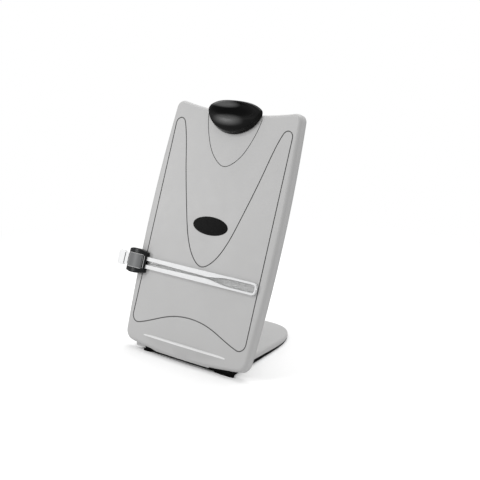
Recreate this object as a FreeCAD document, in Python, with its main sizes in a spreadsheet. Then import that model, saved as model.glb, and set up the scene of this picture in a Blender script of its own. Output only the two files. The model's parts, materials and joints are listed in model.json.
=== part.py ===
import FreeCAD, Part
import math
import os

from FreeCAD import Placement, Rotation, Vector

# A desk copy holder: a leaning panel on a folding rear foot, a spring clip at
# the top edge and a clear line guide on a carriage that slides up the left edge.
# Lengths are millimetres and angles are degrees.
#
# Panel frame: u runs to the right, v runs up the face from its bottom edge and
# h points out of the face towards the reader.
# Foot frame: x runs to the right, y runs to the back and z stands on the desk.

SIZES = {
    # How the panel stands
    "lean": 20.0,
    "lip_height": 5.6,
    # Panel outline
    "panel_width": 234.0,
    "panel_height": 343.6,
    "widest_height": 178.0,
    "side_span": 170.0,
    "side_bow": 7.0,
    "end_span": 110.0,
    "top_dip": 12.0,
    "bottom_bow": 8.6,
    "top_corner": 11.0,
    "bottom_corner": 16.0,
    # Panel walls
    "panel_thickness": 14.0,
    "shell_depth": 11.0,
    "face_wall": 2.5,
    "rim_wall": 2.5,
    "edge_radius": 5.0,
    "back_edge_radius": 1.4,
    # Decorative grooves
    "groove_span": 103.2,
    "groove_width": 1.5,
    "groove_depth": 1.2,
    "horn_radius": 8.3,
    "horn_drop": 15.3,
    "groove_corner": 11.0,
    "groove_bottom": 33.5,
    "flank_angle": 63.4,
    "slope_angle": 15.0,
    "arch_top": 57.3,
    "valley_bottom": 129.4,
    "cup_drop": 4.6,
    "cup_depth": 70.0,
    "cup_span": 47.5,
    "cup_groove_width": 1.0,
    # Paper ledge
    "ledge_height": 20.8,
    "ledge_span": 76.0,
    "ledge_depth": 4.5,
    "ledge_nose": 2.2,
    # Blank name plate
    "plate_width": 62.0,
    "plate_height": 25.2,
    "plate_at": 186.0,
    "plate_thickness": 1.4,
    "plate_recess": 0.9,
    # Screws and their bosses
    "screw_radius": 1.4,
    "screw_head_radius": 2.7,
    "screw_head_height": 1.6,
    "screw_length": 8.0,
    "screw_head_play": 0.3,
    "boss_radius": 4.0,
    "boss_low": 40.0,
    "boss_drop": 38.6,
    "boss_side": 96.0,
    # Fits
    "running_fit": 0.05,
    "seat_gap": 0.1,
    "slide_gap": 0.4,
    "overrun": 30.0,
    # Clip at the top edge
    "clip_width": 94.0,
    "clip_drop": 29.6,
    "clip_tip_up": 2.4,
    "clip_up": 17.0,
    "clip_lift": 1.3,
    "clip_crown_drop": 6.0,
    "clip_crown_long": 53.0,
    "clip_crown_wide": 29.0,
    "clip_crown_rise": 12.8,
    "clip_lean_in": 7.4,
    "bowl_up": 3.4,
    "bowl_centre_out": 16.0,
    "bowl_long": 49.0,
    "bowl_wide": 12.2,
    "bowl_deep": 12.2,
    "clip_pad_width": 32.0,
    "clip_pad_height": 4.5,
    "clip_pad_up": 6.6,
    "clip_pad_gap": 0.3,
    "clip_pad_seat": 0.6,
    # Clip bracket and pivot
    "pivot_above_edge": 7.0,
    "pivot_behind_face": 4.6,
    "pivot_radius": 1.5,
    "bracket_width": 30.0,
    "bracket_thickness": 2.0,
    "bracket_flap": 22.0,
    "bracket_edge_gap": 0.4,
    "bracket_front": 0.8,
    "bracket_ear_width": 3.4,
    "bracket_ear_radius": 3.8,
    "lever_ear_width": 3.2,
    "lever_ear_radius": 3.4,
    "ear_gap": 0.3,
    "pin_head": 0.8,
    "pin_head_radius": 2.4,
    "coil_wire": 0.9,
    "coil_radius": 2.7,
    "coil_turns": 3.0,
    "coil_pitch": 1.6,
    "coil_leg": 7.0,
    "coil_seat": 0.2,
    # Line guide carriage
    "guide_height": 117.0,
    "carriage_out": 12.2,
    "carriage_over": 20.1,
    "carriage_half_height": 17.5,
    "carriage_left_drop": 2.2,
    "carriage_right_drop": 3.6,
    "carriage_base": 0.5,
    "carriage_left_rise": 7.6,
    "carriage_crown": 10.4,
    "carriage_right_rise": 6.4,
    "window_left": 1.0,
    "window_right": 4.6,
    "window_half_height": 10.4,
    "window_depth": 1.3,
    "thumb_plate": 1.0,
    "edge_wall": 6.4,
    "edge_wall_half_height": 12.5,
    "back_jaw": 3.2,
    "back_jaw_reach": 16.0,
    "back_gap": 1.4,
    "felt_thickness": 1.2,
    "felt_margin": 2.0,
    "jaw_corner": 2.5,
    "jaw_screw_rise": 7.0,
    "jaw_screw_length": 10.0,
    # Line guide bar
    "bar_height": 16.6,
    "bar_length": 254.9,
    "bar_reach": 102.3,
    "bar_gap": 1.0,
    "bar_thickness": 3.2,
    "bar_web": 1.5,
    "bar_end_radius": 6.0,
    "bar_tab_height": 21.0,
    "bar_tab_length": 13.5,
    "bar_tab_radius": 4.0,
    "tab_groove_width": 1.8,
    "tab_groove_height": 13.2,
    "tab_groove_in": 19.6,
    "bar_play": 0.3,
    "channel_start_half": 3.4,
    "channel_neck_half": 1.3,
    "channel_neck": 90.0,
    "channel_mouth_half": 5.4,
    "channel_mouth": 44.0,
    "channel_margin": 13.0,
    "channel_end": 2.4,
    "channel_corner": 4.0,
    # Hinge between the panel and the foot
    "hinge_height": 17.6,
    "hinge_out": 10.0,
    "hinge_radius": 8.0,
    "hinge_pin_radius": 2.5,
    "hinge_inner": 30.0,
    "hinge_ear_width": 10.0,
    "washer_thickness": 0.8,
    "washer_radius": 7.2,
    "hinge_head_radius": 5.2,
    "hinge_head": 2.6,
    "nut_size": 9.0,
    "nut_height": 4.0,
    "thread_end": 1.4,
    "ear_clearance": 0.6,
    # Rear foot
    "foot_length": 200.0,
    "foot_width": 167.0,
    "foot_front_gap": 8.0,
    "foot_rear_gap": 1.8,
    "foot_front_top": 13.4,
    "foot_middle_top": 12.2,
    "foot_rear_top": 7.2,
    "foot_edge_radius": 3.6,
    "heel_gap": 0.4,
    "base_inset": 0.6,
    "base_ground": 0.8,
    "foot_pad_radius": 8.0,
    "foot_pad_recess": 0.6,
    "foot_pad_side": 36.0,
    "foot_pad_back": 158.0,
    "foot_screw_side": 46.0,
    "foot_screw_front": 62.0,
    "foot_screw_back": 122.0,
    "foot_screw_length": 7.0,
    "lip_pad_side": 72.0,
    "lip_pad_back": 25.0,
}

# Shares of groove_span and of the height between the two ends of each curve,
# from the middle of the panel outwards.
VALLEY_SHARES = [(0.0, 0.0), (0.155, 0.042), (0.291, 0.137), (0.471, 0.375), (0.678, 0.726)]
ARCH_SHARES = [(0.0, 1.0), (0.355, 0.79), (0.62, 0.37)]
CUP_SHARES = [(0.0, 0.0), (0.326, 0.097), (0.617, 0.311), (0.8, 0.55), (0.937, 0.804), (1.0, 1.0)]
# Shares of half the clip's width and of the height from its bottom to its tip or top.
CLIP_LOWER_SHARES = [(0.0, 0.0), (0.25, 0.038), (0.5, 0.16), (0.72, 0.35), (0.86, 0.555), (0.96, 0.8)]
CLIP_UPPER_SHARES = [(0.955, 0.35), (0.74, 0.7), (0.42, 0.93), (0.0, 1.0)]
# Shares of half the foot's width and of the foot's length, from front to back.
FOOT_SHARES = [(1.0, 0.09), (0.93, 0.29), (0.855, 0.475), (0.785, 0.65), (0.66, 0.815)]
FOOT_TIP_SHARES = [(0.4, 0.956), (0.0, 1.0)]
# Heights of the three bosses on each side, as shares of the way up.
BOSS_SHARES = [0.0, 0.5, 1.0]
# What stands beside the hinge's middle, and the length of it all.
HINGE_STACK = ["hinge_inner", "hinge_ear_width", "hinge_head", "nut_height", "thread_end"]
HINGE_HALF = " + ".join(f"Sizes.{name}" for name in HINGE_STACK)

doc = FreeCAD.newDocument("copy_holder")
sheet = doc.addObject("Spreadsheet::Sheet", "Sizes")
for row, (alias, value) in enumerate(SIZES.items(), start=1):
    sheet.set(f"A{row}", alias)
    sheet.set(f"B{row}", str(value))
    sheet.setAlias(f"B{row}", alias)
doc.recompute()


class Sheet:
    """Reads a named size from the spreadsheet as a plain number."""

    def __getattr__(self, alias):
        return float(sheet.get(alias))


size = Sheet()
PARTS = []


# Placement of each sub-part

SHIFT_X = "(Sizes.bar_length - Sizes.bar_reach - Sizes.panel_width / 2) / 2"
SHIFT_Y = (
    "-(Sizes.foot_length + Sizes.edge_radius * (sin(Sizes.lean) + cos(Sizes.lean) - 1)) / 2"
)


def place(body, height="0", tilted=True):
    """Puts a sub-part drawn in the panel frame or in the foot frame where it stands."""
    angle = 90 - size.lean if tilted else 0
    body.Placement = Placement(Vector(), Rotation(Vector(1, 0, 0), angle))
    body.setExpression("Placement.Base.x", SHIFT_X)
    body.setExpression("Placement.Base.y", SHIFT_Y)
    body.setExpression("Placement.Base.z", height)
    if tilted:
        body.setExpression("Placement.Rotation.Angle", "90 - Sizes.lean")


def panel_body(label):
    body = doc.addObject("PartDesign::Body", label)
    body.Label = label
    place(body, "Sizes.lip_height")
    PARTS.append(body)
    return body


def foot_body(label):
    body = doc.addObject("PartDesign::Body", label)
    body.Label = label
    place(body, tilted=False)
    PARTS.append(body)
    return body


# Sketch geometry

def line(start, end):
    return Part.LineSegment(Vector(*start), Vector(*end))


def arc(start, middle, end):
    return Part.Arc(Vector(*start), Vector(*middle), Vector(*end))


def circle(centre, radius):
    return Part.Circle(Vector(*centre), Vector(0, 0, 1), radius)


def polygon(points):
    return [line(a, b) for a, b in zip(points, points[1:] + points[:1])]


def rectangle(left, bottom, right, top):
    return polygon([(left, bottom), (right, bottom), (right, top), (left, top)])


def rounded_rectangle(left, bottom, right, top, radius):
    """Rectangle with four quarter-round corners."""
    edges = []
    corners = [(right, bottom, 1, -1), (right, top, 1, 1), (left, top, -1, 1), (left, bottom, -1, -1)]
    stops = []
    for x, y, side, end in corners:
        centre = (x - side * radius, y - end * radius)
        across = (centre[0] + side * radius, centre[1])
        along = (centre[0], centre[1] + end * radius)
        diagonal = radius / math.sqrt(2)
        middle = (centre[0] + side * diagonal, centre[1] + end * diagonal)
        first, last = (along, across) if side * end < 0 else (across, along)
        edges.append(arc(first, middle, last))
        stops.append((first, last))
    for (_, last), (first, _) in zip(stops, stops[1:] + stops[:1]):
        edges.append(line(last, first))
    return edges


def spline(points, start=None, end=None):
    """Smooth curve through the points, with its end directions where given."""
    curve = Part.BSplineCurve()
    places = [Vector(*point) for point in points]
    if start and end:
        curve.interpolate(Points=places, InitialTangent=Vector(*start), FinalTangent=Vector(*end))
    else:
        curve.interpolate(Points=places)
    return curve


def mirrored(points):
    """Points on the right and the same points on the left, in one run from right to left."""
    right = sorted(points, key=lambda point: -point[0])
    left = [(-x, y) for x, y in reversed(right) if x > 0]
    return right + left


# Features

def plane(body, role):
    return next(item for item in body.Origin.OriginFeatures if item.Role == role)


def sketch(body, name, role, edges, offset=None):
    drawing = body.newObject("Sketcher::SketchObject", name)
    drawing.AttachmentSupport = [(plane(body, role), "")]
    drawing.MapMode = "FlatFace"
    if offset:
        drawing.setExpression("AttachmentOffset.Base.z", offset)
    for edge in edges:
        drawing.addGeometry(edge, False)
    return drawing


def pad(body, name, profile, length, back=False, both=False):
    feature = body.newObject("PartDesign::Pad", name)
    feature.Profile = profile
    feature.setExpression("Length", length)
    feature.Reversed = back
    if both:
        feature.SideType = "Symmetric"
    doc.recompute()
    return feature


def cut(body, name, profile, length, back=False, both=False):
    """Pocket that has to take material away."""
    before = body.Shape.Volume
    feature = body.newObject("PartDesign::Pocket", name)
    feature.Profile = profile
    feature.setExpression("Length", length)
    feature.Reversed = back
    feature.Midplane = both
    doc.recompute()
    if not body.Shape.Volume < before:
        raise RuntimeError(f"{body.Label}: {name} cuts nothing")
    return feature


def round_edges(body, name, radius, test):
    """Fillet on every edge of the body's tip that passes the test."""
    base = body.Tip
    names = [f"Edge{i}" for i, edge in enumerate(base.Shape.Edges, start=1) if test(edge)]
    feature = body.newObject("PartDesign::Fillet", name)
    feature.Base = (base, names)
    feature.setExpression("Radius", radius)
    doc.recompute()
    return feature


def level(edge, height):
    """True for an edge that lies flat at the given height."""
    box = edge.BoundBox
    return abs(box.ZMin - height) < 0.001 and abs(box.ZMax - height) < 0.001


# Panel outline: four arcs with rounded corners, at any inset from the edge

def bow_radius(chord, bow):
    return (chord * chord + bow * bow) / (2 * bow)


def outline_circles(inset):
    """Centre and radius of the side, top and bottom arcs."""
    side = bow_radius(size.side_span, size.side_bow)
    top = bow_radius(size.end_span, size.top_dip)
    bottom = bow_radius(size.end_span, size.bottom_bow)
    return {
        "side": ((size.panel_width / 2 - side, size.widest_height), side - inset),
        "top": ((0, size.panel_height + top), top + inset),
        "bottom": ((0, bottom), bottom - inset),
    }


def meet(first, second, highest):
    """Crossing of two circles on the right, the upper one or the lower one."""
    (ax, ay), ra = first
    (bx, by), rb = second
    dx, dy = bx - ax, by - ay
    gap = math.hypot(dx, dy)
    along = (gap * gap + ra * ra - rb * rb) / (2 * gap)
    across = math.sqrt(ra * ra - along * along)
    mx, my = ax + along * dx / gap, ay + along * dy / gap
    spots = [(mx + s * across * dy / gap, my - s * across * dx / gap) for s in (1, -1)]
    spots = [spot for spot in spots if spot[0] > 0]
    return max(spots, key=lambda spot: spot[1] if highest else -spot[1])


def towards(centre, target, radius):
    """Point on the circle about centre in the direction of target."""
    dx, dy = target[0] - centre[0], target[1] - centre[1]
    scale = radius / math.hypot(dx, dy)
    return (centre[0] + dx * scale, centre[1] + dy * scale)


def panel_outline(inset=0.0):
    circles = outline_circles(0.0)
    (side_centre, side), (top_centre, top) = circles["side"], circles["top"]
    bottom_centre, bottom = circles["bottom"]
    upper = meet(
        (side_centre, side - size.top_corner), (top_centre, top + size.top_corner), highest=True
    )
    lower = meet(
        (side_centre, side - size.bottom_corner),
        (bottom_centre, bottom - size.bottom_corner),
        highest=False,
    )
    upper_radius = size.top_corner - inset
    lower_radius = size.bottom_corner - inset
    upper_side = towards(side_centre, upper, side - inset)
    upper_top = towards(top_centre, upper, top + inset)
    lower_side = towards(side_centre, lower, side - inset)
    lower_bottom = towards(bottom_centre, lower, bottom - inset)
    upper_middle = towards(upper, (upper_side[0], upper_top[1]), upper_radius)
    lower_middle = towards(lower, (lower_side[0], lower_bottom[1]), lower_radius)
    widest = (size.panel_width / 2 - inset, size.widest_height)

    def left(point):
        return (-point[0], point[1])

    edges = [
        arc(lower_bottom, lower_middle, lower_side),
        arc(lower_side, widest, upper_side),
        arc(upper_side, upper_middle, upper_top),
        arc(upper_top, (0, size.panel_height - inset), left(upper_top)),
        arc(left(upper_top), left(upper_middle), left(upper_side)),
        arc(left(upper_side), left(widest), left(lower_side)),
        arc(left(lower_side), left(lower_middle), left(lower_bottom)),
        arc(left(lower_bottom), (0, inset), lower_bottom),
    ]
    return edges


# Grooves: bands of constant width along a drawn line

def beside(points, tangents, distance):
    """The points moved sideways, to the left of the direction of travel."""
    moved = []
    for (x, y), (tx, ty) in zip(points, tangents):
        length = math.hypot(tx, ty)
        moved.append((x - ty / length * distance, y + tx / length * distance))
    return moved


def banked(points, distance, start=None, end=None):
    """Spline beside the spline through the points."""
    curve = spline(points, start, end)
    tangents = []
    for point in points:
        at = curve.parameter(Vector(*point))
        direction = curve.tangent(at)[0]
        tangents.append((direction.x, direction.y))
    if start and end:
        tangents[0], tangents[-1] = start, end
    return spline(beside(points, tangents, distance), start, end)


def turned(angle):
    """Direction at an angle from the right, as two numbers."""
    return (math.cos(math.radians(angle)), math.sin(math.radians(angle)))


def wave_groove(distance):
    """One side of the closed groove, at a distance inside its middle line."""
    span, horn, corner = size.groove_span, size.horn_radius, size.groove_corner
    horn_centre = (span - horn, size.panel_height - size.horn_drop - horn)
    corner_centre = (span - corner, size.groove_bottom + corner)
    flank = turned(size.flank_angle + 180)
    slope = turned(180 - size.slope_angle)
    flank_start = (horn_centre[0] + horn * flank[1], horn_centre[1] - horn * flank[0])
    slope_start = (corner_centre[0] - corner * slope[1], corner_centre[1] + corner * slope[0])
    drop = flank_start[1] - size.valley_bottom
    rise = size.arch_top - slope_start[1]
    valley = [(x * span, size.valley_bottom + y * drop) for x, y in VALLEY_SHARES] + [flank_start]
    arch = [(x * span, slope_start[1] + y * rise) for x, y in ARCH_SHARES] + [slope_start]
    turn_back = (flank[0], -flank[1])
    slope_back = (slope[0], -slope[1])

    def left(point):
        return (-point[0], point[1])

    edges = []
    for flip in (lambda point: point, left):
        small = horn - distance
        start = (horn_centre[0] + small, horn_centre[1])
        end = (horn_centre[0] + small * flank[1], horn_centre[1] - small * flank[0])
        top = (horn_centre[0], horn_centre[1] + small)
        edges.append(arc(flip(start), flip(top), flip(end)))
        small = corner - distance
        low_start = (corner_centre[0] + small, corner_centre[1])
        low_end = (corner_centre[0] - small * slope[1], corner_centre[1] + small * slope[0])
        diagonal = small / math.sqrt(2)
        low_middle = (corner_centre[0] + diagonal, corner_centre[1] - diagonal)
        edges.append(arc(flip(low_start), flip(low_middle), flip(low_end)))
        edges.append(line(flip(start), flip(low_start)))
    edges.append(banked(mirrored(valley), distance, flank, turn_back))
    edges.append(banked(mirrored(arch), -distance, slope, slope_back))
    return edges


def cup_groove():
    """Open U-shaped band under the clip, closed by short lines at its ends."""
    bottom = size.panel_height - size.cup_drop - size.cup_depth
    points = mirrored(
        [(x * size.cup_span, bottom + y * size.cup_depth) for x, y in CUP_SHARES]
    )
    half = size.cup_groove_width / 2
    inner, outer = banked(points, half), banked(points, -half)
    ends = [line(inner.StartPoint[:2], outer.StartPoint[:2]), line(inner.EndPoint[:2], outer.EndPoint[:2])]
    return [inner, outer] + ends


def boss_places():
    """Six screw places behind the panel and two behind the clip."""
    rise = size.panel_height - size.boss_drop - size.boss_low
    places = [
        (side * size.boss_side, size.boss_low + share * rise)
        for side in (-1, 1)
        for share in BOSS_SHARES
    ]
    return places


def flap_screw_places():
    return [(side * size.bracket_width / 4, flap_bottom() + size.bracket_flap / 3) for side in (-1, 1)]


def flap_bottom():
    return size.panel_height + size.bracket_edge_gap - size.bracket_flap


# Panel

def front_panel():
    body = panel_body("front_panel")
    pad(body, "Slab", sketch(body, "Outline", "XY_Plane", panel_outline()), "Sizes.shell_depth", back=True)
    round_edges(body, "FrontEdge", "Sizes.edge_radius", lambda edge: level(edge, 0))

    ledge(body)
    hollow = sketch(body, "HollowOutline", "XY_Plane", panel_outline(size.rim_wall), "-Sizes.shell_depth")
    cut(body, "Hollow", hollow, "Sizes.shell_depth - Sizes.face_wall", back=True)
    places = boss_places() + flap_screw_places()
    bosses = [circle(spot, size.boss_radius) for spot in places]
    posts = sketch(body, "BossPlan", "XY_Plane", bosses, "-Sizes.face_wall")
    pad(body, "Bosses", posts, "Sizes.shell_depth - Sizes.face_wall", back=True)
    holes = [circle(spot, size.screw_radius + size.running_fit) for spot in places]
    drill = sketch(body, "BossHolePlan", "XY_Plane", holes, "-Sizes.shell_depth")
    cut(body, "BossHoles", drill, "Sizes.shell_depth - Sizes.face_wall - Sizes.screw_radius / 2", back=True)

    half = size.groove_width / 2
    band = sketch(body, "WavePlan", "XY_Plane", wave_groove(-half) + wave_groove(half))
    cut(body, "WaveGroove", band, "Sizes.groove_depth")
    cut(body, "CupGroove", sketch(body, "CupPlan", "XY_Plane", cup_groove()), "Sizes.groove_depth")
    seat = sketch(body, "PlateSeatPlan", "XY_Plane", plate_oval(0))
    cut(body, "PlateSeat", seat, "Sizes.plate_recess")


def ledge(body):
    """Paper ledge with a round nose, turned about a far axis so that its ends sink into the face."""
    bow = bow_radius(size.ledge_span, size.ledge_depth)
    top, out, nose = size.ledge_height, size.ledge_depth, size.ledge_nose
    root, foot = -size.face_wall / 2, size.edge_radius
    fall = math.atan2(out, top - foot - nose)
    brow = (top - nose + nose * math.sin(-fall), out - nose + nose * math.cos(fall))
    middle = (top - nose + nose * math.sin((math.pi / 2 - fall) / 2), 0)
    middle = (middle[0], out - nose + nose * math.cos((math.pi / 2 - fall) / 2))
    toe = (brow[0] - (brow[1] - root) / math.tan(fall), root)
    profile = [
        line((top, root), (top, out - nose)),
        arc((top, out - nose), middle, brow),
        line(brow, toe),
        line(toe, (top, root)),
    ]
    side = sketch(body, "LedgeSide", "YZ_Plane", profile)
    side.addGeometry(line((0, out - bow), (top, out - bow)), True)
    turn = body.newObject("PartDesign::Revolution", "Ledge")
    turn.Profile = side
    turn.ReferenceAxis = (side, ["Axis0"])
    turn.Midplane = True
    turn.Angle = 2 * math.degrees(math.asin((size.ledge_span + size.overrun / 2) / bow))
    doc.recompute()


def plate_oval(inset):
    centre = Vector(0, size.plate_at, 0)
    return [Part.Ellipse(centre, size.plate_width / 2 - inset, size.plate_height / 2 - inset)]


def name_plate():
    """Plain oval insert where a maker would put a name."""
    body = panel_body("name_plate")
    oval = sketch(body, "Oval", "XY_Plane", plate_oval(size.seat_gap), "-Sizes.plate_recess")
    pad(body, "Plate", oval, "Sizes.plate_thickness")
    top = size.plate_thickness - size.plate_recess
    round_edges(body, "PlateEdge", "Sizes.plate_recess / 3", lambda edge: level(edge, top))


def back_cover():
    body = panel_body("back_cover")
    depth = "Sizes.panel_thickness - Sizes.shell_depth"
    outline = sketch(body, "Outline", "XY_Plane", panel_outline(), "-Sizes.shell_depth")
    pad(body, "Cover", outline, depth, back=True)
    rear = -size.panel_thickness
    round_edges(body, "BackEdge", "Sizes.back_edge_radius", lambda edge: level(edge, rear))

    axis = (size.hinge_height, -size.panel_thickness - size.hinge_out)
    root = -size.panel_thickness + size.back_edge_radius
    low, high = axis[0] - size.hinge_radius, axis[0] + size.hinge_radius
    ear = [
        line((high, root), (high, axis[1])),
        arc((high, axis[1]), (axis[0], axis[1] - size.hinge_radius), (low, axis[1])),
        line((low, axis[1]), (low, root)),
        line((low, root), (high, root)),
    ]
    hole = circle(axis, size.hinge_pin_radius + size.running_fit)
    starts = {"Left": "-Sizes.hinge_inner - Sizes.hinge_ear_width", "Right": "Sizes.hinge_inner"}
    for name, start in starts.items():
        profile = sketch(body, f"{name}EarSide", "YZ_Plane", ear + [hole], start)
        pad(body, f"{name}Ear", profile, "Sizes.hinge_ear_width")

    places = boss_places() + flap_screw_places()
    holes = [circle(spot, size.screw_radius + size.running_fit) for spot in places]
    drill = sketch(body, "ScrewHolePlan", "XY_Plane", holes, "-Sizes.panel_thickness")
    cut(body, "ScrewHoles", drill, depth, back=True)
    seats = [circle(spot, size.screw_head_radius + size.screw_head_play) for spot in boss_places()]
    sinks = sketch(body, "ScrewSeatPlan", "XY_Plane", seats, "-Sizes.panel_thickness")
    cut(body, "ScrewSeats", sinks, "Sizes.screw_head_height + Sizes.seat_gap", back=True)


def screw(body, spot, head_at, out, length):
    """Round head and plain shank; the head sits at head_at and the shank runs away from out."""
    head = sketch(body, "HeadPlan", "XY_Plane", [circle(spot, size.screw_head_radius)], head_at)
    pad(body, "Head", head, "Sizes.screw_head_height", back=out < 0)
    shank = sketch(body, "ShankPlan", "XY_Plane", [circle(spot, size.screw_radius)], head_at)
    pad(body, "Shank", shank, length, back=out > 0)


def cover_screws():
    for number, spot in enumerate(boss_places(), start=1):
        body = panel_body(f"cover_screw_{number}")
        seat = "-Sizes.panel_thickness + Sizes.screw_head_height + Sizes.seat_gap"
        screw(body, spot, seat, -1, "Sizes.screw_length")


# Clip

def clip_outline(inset=0.0):
    """Pointed oval, deeper below its tips than above them, drawn in towards its middle."""
    half, edge = size.clip_width / 2, size.panel_height
    scale = 1 - inset / half
    width, drop, up, tip_up = (
        scale * length for length in (half, size.clip_drop, size.clip_up, size.clip_tip_up)
    )
    lower = mirrored([(x * width, edge - drop + y * (drop + tip_up)) for x, y in CLIP_LOWER_SHARES])
    upper = mirrored([(x * width, edge + tip_up + y * (up - tip_up)) for x, y in CLIP_UPPER_SHARES])
    edges = [spline(lower), spline(upper)]
    for side in (1, -1):
        low = (side * lower[0][0], lower[0][1])
        high = (side * upper[0][0], upper[0][1])
        edges.append(arc(low, (side * width, edge + tip_up), high))
    return edges


def pivot():
    return (size.panel_height + size.pivot_above_edge, -size.pivot_behind_face)


def ear_profile(radius, foot):
    """Round ear about the clip's pivot with a straight root, towards or away from the face."""
    v, h = pivot()
    return [
        line((v + radius, foot), (v + radius, h)) if foot > h else line((v + radius, h), (v + radius, foot)),
        line((v + radius, foot), (v - radius, foot)),
        line((v - radius, foot), (v - radius, h)),
        arc((v - radius, h), (v, h - radius if foot > h else h + radius), (v + radius, h)),
        circle((v, h), size.pivot_radius + size.running_fit),
    ]


def lever_ear_start():
    outer = "Sizes.bracket_width / 2 - Sizes.bracket_ear_width - Sizes.ear_gap"
    return outer, f"{outer} - Sizes.lever_ear_width"


def clip_crown():
    """Rounded body that the clip's leaning sides are cut to."""
    body = doc.addObject("PartDesign::Body", "clip_crown")
    crown = body.newObject("PartDesign::AdditiveEllipsoid", "Crown")
    crown.setExpression("Radius1", "Sizes.clip_crown_rise")
    crown.setExpression("Radius2", "Sizes.clip_crown_long")
    crown.setExpression("Radius3", "Sizes.clip_crown_wide")
    crown.setExpression("Placement.Base.y", "Sizes.panel_height - Sizes.clip_crown_drop")
    doc.recompute()
    return body


def clip_lever():
    """Thumb bowl whose lower lip holds the paper against the face."""
    body = panel_body("clip_lever")
    low = sketch(body, "BottomPlan", "XY_Plane", clip_outline(), "Sizes.clip_lift")
    inner = clip_outline(size.clip_lean_in)
    high = sketch(body, "TopPlan", "XY_Plane", inner, "Sizes.clip_lift + Sizes.clip_crown_rise")
    sides = body.newObject("PartDesign::AdditiveLoft", "Sides")
    sides.Profile = low
    sides.Sections = [high]
    sides.Ruled = True
    doc.recompute()
    crowned = body.newObject("PartDesign::Boolean", "Crowned")
    crowned.Type = "Common"
    crowned.addObject(clip_crown())
    doc.recompute()
    bowl = body.newObject("PartDesign::SubtractiveEllipsoid", "Bowl")
    bowl.setExpression("Radius1", "Sizes.bowl_deep")
    bowl.setExpression("Radius2", "Sizes.bowl_long")
    bowl.setExpression("Radius3", "Sizes.bowl_wide")
    bowl.setExpression("Placement.Base.y", "Sizes.panel_height + Sizes.bowl_up")
    bowl.setExpression("Placement.Base.z", "Sizes.bowl_centre_out")
    doc.recompute()
    ear = ear_profile(size.lever_ear_radius, size.clip_lift + size.clip_pad_seat)
    outer, inner = lever_ear_start()
    for name, start in (("Left", f"-({outer})"), ("Right", inner)):
        profile = sketch(body, f"{name}EarSide", "YZ_Plane", ear, start)
        pad(body, f"{name}Ear", profile, "Sizes.lever_ear_width")
    seat = sketch(body, "PadSeatPlan", "XY_Plane", clip_pad_strip(0), "Sizes.clip_lift")
    cut(body, "PadSeat", seat, "Sizes.clip_pad_seat", back=True)


def clip_pad_strip(inset):
    half = size.clip_pad_width / 2 - inset
    low = size.panel_height - size.clip_drop + size.clip_pad_up + inset
    return rectangle(-half, low, half, low + size.clip_pad_height - 2 * inset)


def clip_pad():
    body = panel_body("clip_pad")
    strip = sketch(body, "Strip", "XY_Plane", clip_pad_strip(size.seat_gap), "Sizes.clip_pad_gap")
    pad(body, "Pad", strip, "Sizes.clip_lift + Sizes.clip_pad_seat - Sizes.clip_pad_gap")


def clip_bracket():
    """Bracket over the panel's top edge, screwed to the back, with ears for the lever."""
    body = panel_body("clip_bracket")
    back = -size.panel_thickness
    low = size.panel_height + size.bracket_edge_gap
    thick = size.bracket_thickness
    saddle = polygon([
        (low, -size.bracket_front),
        (low + thick, -size.bracket_front),
        (low + thick, back - thick),
        (flap_bottom(), back - thick),
        (flap_bottom(), back),
        (low, back),
    ])
    pad(body, "Saddle", sketch(body, "SaddleSide", "YZ_Plane", saddle), "Sizes.bracket_width", both=True)
    v, h = pivot()
    radius, root = size.bracket_ear_radius, low + thick / 2
    ear = [
        line((root, h + radius), (v, h + radius)),
        arc((v, h + radius), (v + radius, h), (v, h - radius)),
        line((v, h - radius), (root, h - radius)),
        line((root, h - radius), (root, h + radius)),
        circle((v, h), size.pivot_radius + size.running_fit),
    ]
    for name, start in (
        ("Left", "-Sizes.bracket_width / 2"),
        ("Right", "Sizes.bracket_width / 2 - Sizes.bracket_ear_width"),
    ):
        profile = sketch(body, f"{name}EarSide", "YZ_Plane", ear, start)
        pad(body, f"{name}Ear", profile, "Sizes.bracket_ear_width")
    holes = [circle(spot, size.screw_radius + size.running_fit) for spot in flap_screw_places()]
    rear = "-Sizes.panel_thickness - Sizes.bracket_thickness"
    drill = sketch(body, "FlapHolePlan", "XY_Plane", holes, rear)
    cut(body, "FlapHoles", drill, "Sizes.bracket_thickness", back=True)


def clip_pin():
    body = panel_body("clip_pin")
    shaft = sketch(body, "ShaftEnd", "YZ_Plane", [circle(pivot(), size.pivot_radius)])
    pad(body, "Shaft", shaft, "Sizes.bracket_width + 2 * Sizes.seat_gap", both=True)
    for name, start in (
        ("Left", "-Sizes.bracket_width / 2 - Sizes.seat_gap - Sizes.pin_head"),
        ("Right", "Sizes.bracket_width / 2 + Sizes.seat_gap"),
    ):
        head = sketch(body, f"{name}HeadPlan", "YZ_Plane", [circle(pivot(), size.pin_head_radius)], start)
        pad(body, f"{name}Head", head, "Sizes.pin_head")


def leg_angle(reach):
    """Slope at which a leg drawn tangent to the coil ends at this distance from the pivot."""
    whole = math.hypot(size.coil_radius, size.coil_leg)
    return math.degrees(math.asin(reach / whole) - math.atan2(size.coil_radius, size.coil_leg))


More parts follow.
